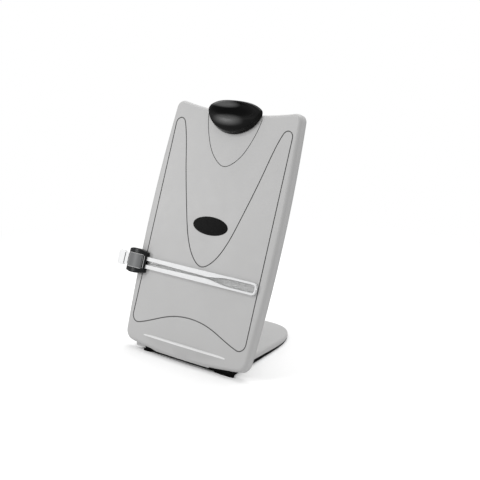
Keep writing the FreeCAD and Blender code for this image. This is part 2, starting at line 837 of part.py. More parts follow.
def clip_spring():
    """Torsion coil round the pivot pin: one leg under the lever, one on the bracket."""
    wire = size.coil_wire / 2
    plate_top = size.panel_height + size.bracket_edge_gap + size.bracket_thickness
    rise = leg_angle(size.clip_lift + size.pivot_behind_face - wire - size.coil_seat)
    drop = leg_angle(pivot()[0] - plate_top - wire - size.coil_seat)
    first, last = 180 + rise, -90 - drop
    turns = size.coil_turns + ((last - first) % 360) / 360
    length = turns * size.coil_pitch
    path = Part.makeHelix(size.coil_pitch, length, size.coil_radius)
    section = Part.Circle(Vector(size.coil_radius, 0, 0), Vector(0, 1, 0), wire).toShape()
    coil = Part.Wire(path.Edges).makePipeShell([Part.Wire([section])], True, True)
    coil.rotate(Vector(), Vector(0, 0, 1), first)
    legs = []
    for angle, side, height in ((first, -1, 0), (last, 1, length)):
        across, along = turned(angle), turned(angle + 90)
        start = Vector(across[0] * size.coil_radius, across[1] * size.coil_radius, height)
        legs.append(Part.makeCylinder(wire, size.coil_leg, start, Vector(*along) * side))
    across_panel = Placement(Vector(-length / 2, *pivot()), Rotation(Vector(0, 1, 0), 90))
    spring = doc.addObject("Part::Feature", "clip_spring")
    spring.Label = "clip_spring"
    spring.Shape = coil.fuse(legs).transformed(across_panel.Matrix, True)
    place(spring, "Sizes.lip_height")
    PARTS.append(spring)


def clip_screws():
    for name, spot in zip(("left", "right"), flap_screw_places()):
        body = panel_body(f"clip_screw_{name}")
        screw(body, spot, "-Sizes.panel_thickness - Sizes.bracket_thickness", -1, "Sizes.screw_length + 1")


# Line guide

def carriage_left():
    return -size.panel_width / 2 - size.carriage_out


def carriage_right():
    return -size.panel_width / 2 + size.carriage_over


def crown_arc(drop=0.0):
    """Front curve of the carriage, seen from above."""
    left, right = carriage_left(), carriage_right()
    return arc(
        (left, size.carriage_left_rise - drop),
        ((left + right) / 2, size.carriage_crown - drop),
        (right, size.carriage_right_rise - drop),
    )


def crown_at(u, drop=0.0):
    """Height of the carriage's front curve at one place."""
    curve = crown_arc(drop).toShape().Curve
    centre, radius = curve.Center, curve.Radius
    return centre.y + math.sqrt(radius * radius - (u - centre.x) ** 2)


def window_sides():
    return carriage_left() + size.window_left, carriage_right() - size.window_right


def window_profile(top, bottom):
    """Curved strip between two depths below the carriage's front curve."""
    left, right = window_sides()
    middle = (left + right) / 2
    edges = []
    for drop in (top, bottom):
        edges.append(arc(
            (left, crown_at(left, drop)), (middle, crown_at(middle, drop)), (right, crown_at(right, drop))
        ))
    edges.append(line((left, crown_at(left, top)), (left, crown_at(left, bottom))))
    edges.append(line((right, crown_at(right, top)), (right, crown_at(right, bottom))))
    return edges


def carriage_outline():
    left, right, middle = carriage_left(), carriage_right(), (carriage_left() + carriage_right()) / 2
    at, half = size.guide_height, size.carriage_half_height
    high_left, high_right = half - size.carriage_left_drop, half - size.carriage_right_drop
    return [
        arc((left, at + high_left), (middle, at + half), (right, at + high_right)),
        line((right, at + high_right), (right, at - high_right)),
        arc((right, at - high_right), (middle, at - half), (left, at - high_left)),
        line((left, at - high_left), (left, at + high_left)),
    ]


def inner_wall():
    return -size.panel_width / 2 - size.slide_gap


def carriage_front():
    """Housing that hooks round the panel's edge and carries the bar."""
    body = panel_body("carriage_front")
    plan = sketch(body, "Plan", "XY_Plane", carriage_outline(), "Sizes.carriage_base")
    pad(body, "Block", plan, "Sizes.carriage_crown")
    left, right = carriage_left(), carriage_right()
    far = size.overrun
    curve = crown_arc()
    above = [
        curve,
        line((right, size.carriage_right_rise), (right + far, size.carriage_right_rise)),
        line((right + far, size.carriage_right_rise), (right + far, far)),
        line((right + far, far), (left - far, far)),
        line((left - far, far), (left - far, size.carriage_left_rise)),
        line((left - far, size.carriage_left_rise), (left, size.carriage_left_rise)),
    ]
    at = "-Sizes.guide_height"
    crown = sketch(body, "CrownSide", "XZ_Plane", above, at)
    cut(body, "Crown", crown, "4 * Sizes.carriage_half_height", both=True)
    wall = inner_wall()
    back = -size.panel_thickness - size.back_gap
    hook = rectangle(wall - size.edge_wall, back, wall, size.bar_gap)
    wall_sketch = sketch(body, "EdgeWallSide", "XZ_Plane", hook, at)
    pad(body, "EdgeWall", wall_sketch, "2 * Sizes.edge_wall_half_height", both=True)
    half = size.bar_height / 2 + size.bar_play
    guide = size.guide_height
    low, high = size.bar_gap - size.bar_play, size.bar_gap + size.bar_thickness + size.bar_play
    channel = rectangle(guide - half, low, guide + half, high)
    cut(body, "BarSlot", sketch(body, "BarSlotEnd", "YZ_Plane", channel), "2 * Sizes.panel_width", both=True)
    strip = window_profile(-size.window_depth, size.window_depth)
    window = sketch(body, "WindowSide", "XZ_Plane", strip, at)
    cut(body, "Window", window, "2 * Sizes.window_half_height", both=True)
    holes = [circle(spot, size.screw_radius + size.running_fit) for spot in jaw_screw_places()]
    drill = sketch(body, "JawScrewPlan", "XY_Plane", holes, "-Sizes.panel_thickness - Sizes.back_gap")
    depth = "Sizes.jaw_screw_length - Sizes.back_jaw + Sizes.screw_head_height"
    cut(body, "JawScrewHoles", drill, depth, back=True)


def jaw_screw_places():
    u = inner_wall() - size.edge_wall / 2
    return [(u, size.guide_height + side * size.jaw_screw_rise) for side in (1, -1)]


def carriage_plate():
    """Satin thumb plate let into the front of the carriage."""
    body = panel_body("carriage_plate")
    strip = window_profile(size.window_depth - size.thumb_plate, size.window_depth)
    side = sketch(body, "Side", "XZ_Plane", strip, "-Sizes.guide_height")
    pad(body, "Plate", side, "2 * (Sizes.window_half_height - Sizes.seat_gap)", both=True)


def carriage_jaw():
    """Jaw behind the panel."""
    body = panel_body("carriage_jaw")
    wall = inner_wall()
    half, at = size.edge_wall_half_height, size.guide_height
    shape = rounded_rectangle(
        wall - size.edge_wall, at - half, wall + size.back_jaw_reach, at + half, size.jaw_corner
    )
    plan = sketch(body, "Plan", "XY_Plane", shape, "-Sizes.panel_thickness - Sizes.back_gap")
    pad(body, "Jaw", plan, "Sizes.back_jaw", back=True)
    rear = -size.panel_thickness - size.back_gap - size.back_jaw
    round_edges(body, "JawEdge", "Sizes.screw_head_play * 2", lambda edge: level(edge, rear))
    back = "-Sizes.panel_thickness - Sizes.back_gap - Sizes.back_jaw"
    holes = [circle(spot, size.screw_radius + size.running_fit) for spot in jaw_screw_places()]
    drill = sketch(body, "ScrewHolePlan", "XY_Plane", holes, back)
    cut(body, "ScrewHoles", drill, "Sizes.back_jaw", back=True)
    seats = [circle(spot, size.screw_head_radius + size.screw_head_play) for spot in jaw_screw_places()]
    sinks = sketch(body, "ScrewSeatPlan", "XY_Plane", seats, back)
    cut(body, "ScrewSeats", sinks, "Sizes.screw_head_height + Sizes.seat_gap", back=True)


def carriage_felt():
    """Felt strip that gives the slide its drag."""
    body = panel_body("carriage_felt")
    margin, wall = size.felt_margin, inner_wall()
    half, at = size.edge_wall_half_height - margin, size.guide_height
    strip = rectangle(wall + margin, at - half, wall + size.back_jaw_reach - margin, at + half)
    plan = sketch(body, "Plan", "XY_Plane", strip, "-Sizes.panel_thickness - Sizes.back_gap")
    pad(body, "Felt", plan, "Sizes.felt_thickness")


def carriage_screws():
    for name, spot in zip(("upper", "lower"), jaw_screw_places()):
        body = panel_body(f"carriage_screw_{name}")
        seat = (
            "-Sizes.panel_thickness - Sizes.back_gap - Sizes.back_jaw"
            " + Sizes.screw_head_height + Sizes.seat_gap"
        )
        screw(body, spot, seat, -1, "Sizes.jaw_screw_length - Sizes.back_jaw")


def channel_outline():
    """Sunk strip along the bar: it narrows to a neck, then opens into the reading window."""
    at, tip = size.guide_height, size.bar_reach
    start = tip - size.bar_length + size.bar_tab_length + size.channel_margin
    neck, mouth, end = tip - size.channel_neck, tip - size.channel_mouth, tip - size.channel_end
    half, corner = size.channel_mouth_half, size.channel_corner
    lean = (size.channel_neck_half - size.channel_start_half, neck - start)
    diagonal = corner - corner / math.sqrt(2)
    edges = [
        line((start, at - size.channel_start_half), (start, at + size.channel_start_half)),
        line((end, at + half - corner), (end, at - half + corner)),
    ]
    for side in (1, -1):
        edges += [
            line((start, at + side * size.channel_start_half), (neck, at + side * size.channel_neck_half)),
            spline(
                [(neck, at + side * size.channel_neck_half), (mouth, at + side * half)],
                (lean[1], side * lean[0]), (1, 0),
            ),
            line((mouth, at + side * half), (end - corner, at + side * half)),
            arc(
                (end - corner, at + side * half),
                (end - diagonal, at + side * (half - diagonal)),
                (end, at + side * (half - corner)),
            ),
        ]
    return edges


def guide_bar():
    """Clear bar with thick frosted ribs round a sunk strip, and a pull tab."""
    body = panel_body("guide_bar")
    at, half, low = size.guide_height, size.bar_height / 2, size.bar_gap
    section = rectangle(at - half, low, at + half, low + size.bar_thickness)
    start = "Sizes.bar_reach - Sizes.bar_length + Sizes.bar_end_radius"
    end = sketch(body, "Section", "YZ_Plane", section, start)
    pad(body, "Bar", end, "Sizes.bar_length - Sizes.bar_end_radius")
    tip = size.bar_reach
    radius = size.bar_end_radius
    corner = []
    for side in (1, -1):
        edge = at + side * half
        diagonal = radius - radius / math.sqrt(2)
        corner += [
            arc((tip - radius, edge), (tip - diagonal, edge - side * diagonal), (tip, edge - side * radius)),
            line((tip, edge - side * radius), (tip + radius, edge + side * radius)),
            line((tip + radius, edge + side * radius), (tip - radius, edge)),
        ]
    corners = sketch(body, "RoundEndPlan", "XY_Plane", corner)
    cut(body, "RoundEnd", corners, "4 * Sizes.bar_thickness", both=True)
    left = size.bar_reach - size.bar_length
    tab = size.bar_tab_height / 2
    shape = rounded_rectangle(left, at - tab, left + size.bar_tab_length, at + tab, size.bar_tab_radius)
    pad(body, "Tab", sketch(body, "TabPlan", "XY_Plane", shape, "Sizes.bar_gap"), "Sizes.bar_thickness")
    face = "Sizes.bar_gap + Sizes.bar_thickness"
    channel = sketch(body, "ChannelPlan", "XY_Plane", channel_outline(), face)
    cut(body, "Channel", channel, "Sizes.bar_thickness - Sizes.bar_web")
    groove = left + size.tab_groove_in
    tall = size.tab_groove_height / 2
    stroke = rectangle(groove, at - tall, groove + size.tab_groove_width, at + tall)
    mark = sketch(body, "TabGroovePlan", "XY_Plane", stroke, face)
    cut(body, "TabGroove", mark, "Sizes.bar_thickness - Sizes.bar_web")


# Hinge between panel and foot

def hinge_axis():
    return (size.hinge_height, -size.panel_thickness - size.hinge_out)


def hinge_pin():
    """Bolt through both panel ears and the foot's barrel."""
    body = panel_body("hinge_pin")
    outer = "Sizes.hinge_inner + Sizes.hinge_ear_width"
    start = f"-({outer} + Sizes.seat_gap)"
    shaft = sketch(body, "ShaftEnd", "YZ_Plane", [circle(hinge_axis(), size.hinge_pin_radius)], start)
    pad(body, "Shaft", shaft, f"2 * ({outer} + Sizes.seat_gap) + Sizes.nut_height + Sizes.thread_end")
    head = sketch(body, "HeadEnd", "YZ_Plane", [circle(hinge_axis(), size.hinge_head_radius)], start)
    pad(body, "Head", head, "Sizes.hinge_head", back=True)
    crown = -(size.hinge_inner + size.hinge_ear_width + size.seat_gap + size.hinge_head)
    round_edges(
        body, "HeadEdge", "Sizes.hinge_head / 3",
        lambda edge: abs(edge.BoundBox.XMax - crown) < 0.001,
    )


def hinge_nut():
    body = panel_body("hinge_nut")
    v, h = hinge_axis()
    corner = size.nut_size / math.sqrt(3)
    points = [
        (v + corner * math.cos(math.radians(60 * i)), h + corner * math.sin(math.radians(60 * i)))
        for i in range(6)
    ]
    edges = polygon(points) + [circle((v, h), size.hinge_pin_radius + size.running_fit)]
    start = "Sizes.hinge_inner + Sizes.hinge_ear_width + Sizes.seat_gap"
    pad(body, "Nut", sketch(body, "NutEnd", "YZ_Plane", edges, start), "Sizes.nut_height")


def hinge_washers():
    """Friction washers between the foot's barrel and the panel's ears."""
    start = "Sizes.hinge_inner - Sizes.washer_thickness - Sizes.seat_gap / 2"
    for name, offset in (("left", f"-({start}) - Sizes.washer_thickness"), ("right", start)):
        body = panel_body(f"hinge_washer_{name}")
        rings = [
            circle(hinge_axis(), size.washer_radius),
            circle(hinge_axis(), size.hinge_pin_radius + size.running_fit),
        ]
        pad(body, "Washer", sketch(body, "Ring", "YZ_Plane", rings, offset), "Sizes.washer_thickness")


# Foot

def sine():
    return math.sin(math.radians(size.lean))


def cosine():
    return math.cos(math.radians(size.lean))


def stand(v, h):
    """Place in the foot frame of a point of the panel frame."""
    return (v * sine() - h * cosine(), size.lip_height + v * cosine() + h * sine())


def foot_outline(inset=0.0, front=None):
    """Tongue that narrows to the back, closed by a straight front."""
    half, length = size.foot_width / 2, size.foot_length
    sides = [(x * half - inset, y * length) for x, y in FOOT_SHARES]
    tips = [(x * half - inset * 0.7, y * length - inset * 0.7) for x, y in FOOT_TIP_SHARES[:1]]
    tips.append((0, length - inset))
    if front is not None:
        sides = [point for point in sides if point[1] > front]
        first, second = sides[0], sides[1]
        slope = (first[0] - second[0]) / (first[1] - second[1])
        sides.insert(0, (first[0] + slope * (front - first[1]), front))
    right = sides + tips
    left = [(-x, y) for x, y in reversed(right) if x > 0]
    points = right + left
    return [spline(points), line(points[-1], points[0])]


def underside(y):
    """Height of the lower edge of the foot's shell."""
    share = (y - size.base_inset) / (size.foot_length - size.base_inset)
    return size.foot_front_gap + (size.foot_rear_gap - size.foot_front_gap) * share


def foot_shell():
    body = foot_body("foot_shell")
    heel_low = heel_at(size.foot_front_gap)
    heel_high = heel_at(size.foot_front_top)
    end = size.foot_length
    low_start = (heel_low, underside(heel_low))
    side = [
        line(low_start, (end, underside(end))),
        line((end, underside(end)), (end, size.foot_rear_top)),
        arc((end, size.foot_rear_top), (end / 2, size.foot_middle_top), (heel_high, size.foot_front_top)),
        line((heel_high, size.foot_front_top), low_start),
    ]
    pad(body, "Wedge", sketch(body, "Side", "YZ_Plane", side), "Sizes.foot_width", both=True)
    far = size.foot_width + size.overrun
    border = rectangle(-far, -size.overrun, far, size.foot_length + size.overrun)
    plan = sketch(body, "Plan", "XY_Plane", foot_outline_from_heel() + border)
    cut(body, "Trim", plan, "4 * Sizes.foot_front_top", both=True)
    rim = size.foot_edge_radius

    def is_rim(edge):
        box = edge.BoundBox
        return box.ZMax > size.foot_front_gap + rim and box.YLength > rim

    round_edges(body, "TopEdge", "Sizes.foot_edge_radius", is_rim)
    hinge_knuckle(body)
    holes = [circle(spot, size.screw_radius + size.running_fit) for spot in foot_screw_places()]
    drill = sketch(body, "ScrewHolePlan", "XY_Plane", holes)
    depth = "Sizes.base_ground + Sizes.screw_head_height + Sizes.foot_screw_length"
    cut(body, "ScrewHoles", drill, depth, back=True)


def heel_at(z):
    """Depth of the foot's front face, a little behind the panel's back."""
    v = (z - size.lip_height + size.panel_thickness * sine()) / cosine()
    return v * sine() + size.panel_thickness * cosine() + size.heel_gap / cosine()


def foot_outline_from_heel():
    """The tongue's outline, drawn past the heel so that the side profile shapes the front."""
    return foot_outline(front=0.0)


def hinge_knuckle(body):
    """Barrel between the panel's ears, and the notches that clear the ears."""
    y, z = stand(*hinge_axis())
    inner = "Sizes.hinge_inner - Sizes.washer_thickness - Sizes.seat_gap"
    barrel = sketch(body, "BarrelEnd", "YZ_Plane", [circle((y, z), size.hinge_radius)])
    pad(body, "Barrel", barrel, f"2 * ({inner})", both=True)
    reach = y + size.hinge_radius + size.ear_clearance
    near = size.hinge_inner - size.washer_thickness - size.seat_gap
    far = sum(getattr(size, name) for name in HINGE_STACK)
    notches = []
    for side in (1, -1):
        left, right = sorted((side * near, side * far))
        notches += rectangle(left, 0, right, reach)
    plan = sketch(body, "NotchPlan", "XY_Plane", notches)
    cut(body, "Notches", plan, "6 * Sizes.foot_front_top", both=True)
    hole = sketch(body, "PinHoleEnd", "YZ_Plane", [circle((y, z), size.hinge_pin_radius + size.running_fit)])
    cut(body, "PinHole", hole, "Sizes.foot_width", both=True)


def foot_screw_places():
    return [
        (-size.foot_screw_side, size.foot_screw_front),
        (size.foot_screw_side, size.foot_screw_front),
        (0, size.foot_screw_back),
    ]


def foot_pad_places():
    return [(side * size.foot_pad_side, size.foot_pad_back) for side in (-1, 1)]


def lip_pad_places():
    return [(side * size.lip_pad_side, size.lip_pad_back) for side in (-1, 1)]


def foot_base():
    """Dark tray under the shell, thick at the front and thin at the back."""
    body = foot_body("foot_base")
    ground, end = size.base_ground, size.foot_length
    heel_low, heel_high = heel_at(ground), heel_at(size.foot_front_gap)
    side = polygon([
        (heel_low, ground), (end, ground), (end, underside(end)), (heel_high, underside(heel_high)),
    ])
    pad(body, "Wedge", sketch(body, "Side", "YZ_Plane", side), "Sizes.foot_width", both=True)
    far = size.foot_width + size.overrun
    border = rectangle(-far, -size.overrun, far, size.foot_length + size.overrun)
    plan = sketch(body, "Plan", "XY_Plane", foot_outline(size.base_inset, 0.0) + border)
    cut(body, "Trim", plan, "4 * Sizes.foot_front_top", both=True)
    relief = circle(stand(*hinge_axis()), size.hinge_radius + size.ear_clearance)
    trough = sketch(body, "HingeReliefEnd", "YZ_Plane", [relief])
    cut(body, "HingeRelief", trough, f"2 * ({HINGE_HALF})", both=True)
    holes = [circle(spot, size.screw_radius + size.running_fit) for spot in foot_screw_places()]
    drill = sketch(body, "ScrewHolePlan", "XY_Plane", holes)
    cut(body, "ScrewHoles", drill, "Sizes.foot_front_top", back=True)
    seats = [circle(spot, size.screw_head_radius + size.screw_head_play) for spot in foot_screw_places()]
    sinks = sketch(body, "ScrewSeatPlan", "XY_Plane", seats, "Sizes.base_ground")
    cut(body, "ScrewSeats", sinks, "Sizes.screw_head_height + Sizes.seat_gap", back=True)
    pads = [circle(spot, size.foot_pad_radius) for spot in foot_pad_places() + lip_pad_places()]
    recess = sketch(body, "PadSeatPlan", "XY_Plane", pads, "Sizes.base_ground")
    cut(body, "PadSeats", recess, "Sizes.foot_pad_recess", back=True)


def foot_screws():
    for name, spot in zip(("left", "right", "rear"), foot_screw_places()):
        body = foot_body(f"foot_screw_{name}")
        seat = "Sizes.base_ground + Sizes.screw_head_height + Sizes.seat_gap"
        screw(body, spot, seat, -1, "Sizes.foot_screw_length - Sizes.seat_gap * 2")


def foot_pads():
    """Four round rubber feet: two near the back and two under the panel's edge."""
    spots = {"foot_pad": foot_pad_places(), "lip_pad": lip_pad_places()}
    for kind, places in spots.items():
        for side, spot in zip(("left", "right"), places):
            body = foot_body(f"{kind}_{side}")
            disc = sketch(body, "Disc", "XY_Plane", [circle(spot, size.foot_pad_radius - size.seat_gap)])
            pad(body, "Pad", disc, "Sizes.base_ground + Sizes.foot_pad_recess")


# The whole part

def build():
    front_panel()
    back_cover()
    name_plate()
    cover_screws()
    clip_bracket()
    clip_lever()
    clip_pad()
    clip_pin()
    clip_spring()
    clip_screws()
    carriage_front()
    carriage_plate()
    carriage_jaw()
    carriage_felt()
    carriage_screws()
    guide_bar()
    hinge_pin()
    hinge_nut()
    hinge_washers()
    foot_shell()
    foot_base()
    foot_screws()
    foot_pads()
    doc.recompute()


def check():
    for item in doc.Objects:
        if "Invalid" in item.State or "Error" in item.State:
            raise RuntimeError(f"{item.Label} did not build: {item.State}")
    for item in PARTS:
        if item.Shape.isNull() or not item.Shape.isValid():
            raise RuntimeError(f"{item.Label} has no valid solid")
        if len(item.Shape.Solids) != 1:
            raise RuntimeError(f"{item.Label} has {len(item.Shape.Solids)} solids")


def export():
    os.makedirs("parts", exist_ok=True)
    for item in PARTS:
        item.Shape.exportStep(f"parts/{item.Label}.step")
        print(f"{item.Label:24s} {item.Shape.Volume / 1000:9.2f} cm3")


build()
check()
export()
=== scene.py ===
import json
import math

import bmesh
import bpy
from mathutils import Matrix, Vector
from mathutils.bvhtree import BVHTree


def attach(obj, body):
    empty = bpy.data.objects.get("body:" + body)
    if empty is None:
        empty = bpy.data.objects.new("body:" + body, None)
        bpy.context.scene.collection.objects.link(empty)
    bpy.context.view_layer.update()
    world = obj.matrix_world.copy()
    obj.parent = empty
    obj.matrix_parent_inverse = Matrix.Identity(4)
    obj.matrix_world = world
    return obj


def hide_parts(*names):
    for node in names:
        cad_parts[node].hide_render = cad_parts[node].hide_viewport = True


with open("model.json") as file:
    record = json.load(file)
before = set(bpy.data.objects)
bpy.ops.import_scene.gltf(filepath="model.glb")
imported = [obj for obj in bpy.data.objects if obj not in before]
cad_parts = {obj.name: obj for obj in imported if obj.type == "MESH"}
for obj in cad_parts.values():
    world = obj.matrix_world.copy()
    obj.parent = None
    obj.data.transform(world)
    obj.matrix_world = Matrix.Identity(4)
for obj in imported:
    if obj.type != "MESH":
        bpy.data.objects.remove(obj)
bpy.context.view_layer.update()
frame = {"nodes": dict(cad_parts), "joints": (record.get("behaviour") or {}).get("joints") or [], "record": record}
nodes = frame["nodes"]
bodies = frame["record"]["behaviour"]["bodies"]
slots = {entry["node"]: entry["material_slot"] for entry in frame["record"]["subparts"]}
body_of_node = {node: body for body, members in bodies.items() for node in members}

MM = 0.001
LEAN = math.radians(20)

# The panel's own axes: across, up the face and out of it. They start at the middle of the face's
# bottom edge, and the foot's hinge lies this far up and behind it, in millimetres.
HINGE_UP, HINGE_BEHIND = 17.6, 24
ACROSS = Vector((1, 0, 0))
UP_FACE = Vector((0, math.sin(LEAN), math.cos(LEAN)))
OUT = Vector((0, -math.cos(LEAN), math.sin(LEAN)))
hinge = Vector(next(joint for joint in frame["joints"] if joint["name"] == "foot_fold")["pos_m"])
BOTTOM_MIDDLE = hinge - UP_FACE * (HINGE_UP * MM) + OUT * (HINGE_BEHIND * MM)
PANEL = Matrix((
    (ACROSS.x, UP_FACE.x, OUT.x, BOTTOM_MIDDLE.x),
    (ACROSS.y, UP_FACE.y, OUT.y, BOTTOM_MIDDLE.y),
    (ACROSS.z, UP_FACE.z, OUT.z, BOTTOM_MIDDLE.z),
    (0, 0, 0, 1),
))
PANEL_INVERSE = PANEL.inverted()


def panel_place(point):
    """A point's place across, up and out of the panel, in millimetres."""
    return PANEL_INVERSE @ point / MM


def stand(name, data):
    """A new object in the scene."""
    piece = bpy.data.objects.new(name, data)
    bpy.context.scene.collection.objects.link(piece)
    return piece


def smooth(mesh):
    """Shades all faces of a mesh smooth."""
    mesh.polygons.foreach_set("use_smooth", [True] * len(mesh.polygons))


# Shader helpers

# Sockets of a Mix node that mixes colours
MIX_FACTOR, MIX_FIRST, MIX_SECOND, MIX_RESULT = 0, 6, 7, 2


class Shade:
    """One value or colour in a material; sums and products of values add Math nodes."""

    def __init__(self, finish, socket):
        self.finish = finish
        self.socket = socket

    def _math(self, operation, first, second):
        return self.finish.node("ShaderNodeMath", {"operation": operation}, first, second)

    def __add__(self, other):
        return self._math("ADD", self, other)

    def __radd__(self, other):
        return self._math("ADD", other, self)

    def __sub__(self, other):
        return self._math("SUBTRACT", self, other)

    def __rsub__(self, other):
        return self._math("SUBTRACT", other, self)

    def __mul__(self, other):
        return self._math("MULTIPLY", self, other)

    def __rmul__(self, other):
        return self._math("MULTIPLY", other, self)

    def between(self, low, high):
        """0 below low and 1 above high, with a smooth step."""
        settings = {"interpolation_type": "SMOOTHSTEP"}
        return self.finish.node("ShaderNodeMapRange", settings, self, low, high)


class Finish:
    """A material under construction."""

    def __init__(self, name):
        self.material = bpy.data.materials.new(name)
        self.material.use_nodes = True
        self.tree = self.material.node_tree
        self.tree.nodes.clear()

    def node(self, kind, settings, *values, output=0, **named):
        """Adds a node with its settings, then its sockets in order or by name."""
        made = self.tree.nodes.new(kind)
        for key, value in settings.items():
            setattr(made, key, value)
        for socket, value in zip(made.inputs, values):
            self.feed(socket, value)
        for label, value in named.items():
            self.feed(made.inputs[label.replace("_", " ")], value)
        return Shade(self, made.outputs[output])

    def feed(self, socket, value):
        """Links a shade to a socket, or sets the socket's own value."""
        if isinstance(value, Shade):
            self.tree.links.new(value.socket, socket)
        else:
            socket.default_value = value

    def place(self):
        """Where a point lies, in metres."""
        return self.node("ShaderNodeTexCoord", {}, output="Object")

    def along(self, axis):
        """Distance along one of the panel's axes, in metres."""
        settings = {"operation": "DOT_PRODUCT"}
        reach = self.node(
            "ShaderNodeVectorMath", settings, self.place(), tuple(axis), output="Value"
        )
        return reach - BOTTOM_MIDDLE.dot(axis)

    def oval(self, across, up, half_across, half_up):
        """1 in the middle of an oval on the panel's face and 0 outside it, in millimetres."""
        aside = (self.along(ACROSS) - across * MM) * (1 / (half_across * MM))
        above = (self.along(UP_FACE) - up * MM) * (1 / (half_up * MM))
        return 1 - (aside * aside + above * above).between(0.0, 1.0)

    def noise(self, size, detail=3.0, rough=0.55, stretch=None):
        """Noise whose features are about this size in metres, from 0 to 1."""
        where = self.place()
        if stretch:
            where = self.node("ShaderNodeVectorMath", {"operation": "MULTIPLY"}, where, stretch)
        return self.node(
            "ShaderNodeTexNoise", {}, Vector=where, Scale=1 / size, Detail=detail, Roughness=rough
        )

    def cells(self, size):
        """Distance to the middle of cells of about this size in metres."""
        return self.node("ShaderNodeTexVoronoi", {}, Vector=self.place(), Scale=1 / size)

    def blend(self, amount, first, second):
        """The first colour at 0 and the second at 1."""
        made = self.tree.nodes.new("ShaderNodeMix")
        made.data_type = "RGBA"
        self.feed(made.inputs[MIX_FACTOR], amount)
        self.feed(made.inputs[MIX_FIRST], first)
        self.feed(made.inputs[MIX_SECOND], second)
        return Shade(self, made.outputs[MIX_RESULT])

    def bump(self, height, depth, strength):
        """Normal of a surface with this relief."""
        return self.node("ShaderNodeBump", {}, Strength=strength, Distance=depth, Height=height)

    def done(self, surface):
        """The material with this shader as its surface."""
        out = self.tree.nodes.new("ShaderNodeOutputMaterial")
        self.tree.links.new(surface.socket, out.inputs["Surface"])
        return self.material

    def principled(self, **inputs):
        """The material with a Principled shader as its surface."""
        return self.done(self.node("ShaderNodeBsdfPrincipled", {}, **inputs))


def grey(level, warm=0.0):
    """Opaque linear colour, a little warm or cool."""
    return (level * (1 + warm), level, level * (1 - warm), 1)


# Finishes

ACRYLIC_IOR = 1.49


def moulded(name, level, warm=0.0, gloss=0.42, grain=0.45, depth=0.05, drift=0.05):
    """Spark-eroded moulded plastic: fine pits, and a slow drift of its tone and its sheen."""
    make = Finish(name)
    slow = make.noise(60 * MM, detail=2)
    speckle = make.noise(0.9 * MM, detail=4)
    base = make.blend(slow, grey(level * (1 - drift), warm), grey(level * (1 + drift), warm))
    height = make.cells(grain * MM) * 0.6 + make.noise(grain * 0.6 * MM, detail=2) * 0.4
    return make.principled(
        Base_Color=make.blend(speckle * 0.10, base, grey(level * 0.72, warm)),
        Roughness=gloss + (make.noise(14 * MM) - 0.5) * 0.10 + (speckle - 0.5) * 0.06,
        Normal=make.bump(height, depth * MM, strength=0.35),
    )


def gloss_black(name, level=0.004, rough=0.10):
    """Polished black inlay with faint dust and hairlines."""
    make = Finish(name)
    dust = make.noise(0.5 * MM, detail=5).between(0.66, 0.74)
    hair = make.noise(0.4 * MM, detail=2, stretch=(0.05, 1, 1)).between(0.62, 0.72)
    return make.principled(
        Base_Color=make.blend(dust * 0.12, grey(level), grey(0.2)),
        Roughness=rough + make.noise(9 * MM) * 0.06 + hair * 0.10,
        Normal=make.bump(make.noise(7 * MM), 0.05 * MM, strength=0.2),
        Specular_IOR_Level=0.005,
    )


def satin_black(name, level=0.002, rough=0.26, tint=0.0, mirror=0.14, painted_sheen=(), matt=()):
    """Satin black moulding with a soft sheen; some ovals are paler, as painted highlights, and matt ones rougher.
    """
    make = Finish(name)
    slow = make.noise(25 * MM)
    tone = make.blend(slow, grey(level * 0.8, -tint), grey(level * 1.25, -tint))
    # paler ovals: painted highlights, standing for the clip's sheen
    for *patch, paler in painted_sheen:
        tone = make.blend(make.oval(*patch), tone, grey(paler))
    sheen = rough + (make.noise(6 * MM) - 0.5) * 0.08
    for *patch, rougher in matt:
        sheen = sheen + make.oval(*patch) * rougher
    return make.principled(
        Base_Color=tone, Roughness=sheen, Specular_IOR_Level=mirror,
        Normal=make.bump(make.cells(0.35 * MM), 0.02 * MM, strength=0.1),
    )


def plated_steel(name):
    """Bright zinc plate with a faint crystalline mottling."""
    make = Finish(name)
    fine = make.noise(0.5 * MM, stretch=(1, 1, 0.1))
    return make.principled(
        Base_Color=make.blend(make.cells(1.4 * MM), grey(0.52, 0.01), grey(0.68, -0.01)),
        Metallic=1.0, Roughness=0.24 + make.noise(1.1 * MM) * 0.18,
        Normal=make.bump(fine, 0.02 * MM, strength=0.3),
    )


def spring_wire(name):
    """Oiled spring steel with drawing lines."""
    make = Finish(name)
    lines = make.noise(0.25 * MM, stretch=(1, 0.2, 1))
    return make.principled(
        Base_Color=make.blend(lines, grey(0.28), grey(0.46)),
        Metallic=1.0, Roughness=0.28 + lines * 0.15,
        Normal=make.bump(lines, 0.02 * MM, strength=0.3),
    )


def painted(name, level=0.012):
    """Black powder coat with a low orange peel."""
    make = Finish(name)
    peel = make.noise(0.8 * MM, detail=2)
    return make.principled(
        Base_Color=make.blend(make.noise(20 * MM), grey(level), grey(level * 1.5)),
        Roughness=0.42 + peel * 0.12,
        Normal=make.bump(peel, 0.06 * MM, strength=0.4),
    )


def rubber(name, level=0.003):
    """Dull black rubber, a little dusty."""
    make = Finish(name)
    pores = make.cells(0.6 * MM)
    dust = make.noise(3 * MM, detail=4).between(0.55, 0.75)
    return make.principled(
        Base_Color=make.blend(dust * 0.2, grey(level), grey(0.02, 0.02)),
        Roughness=0.78 + pores * 0.12, Specular_IOR_Level=0.06,
        Normal=make.bump(pores, 0.08 * MM, strength=0.4),
    )


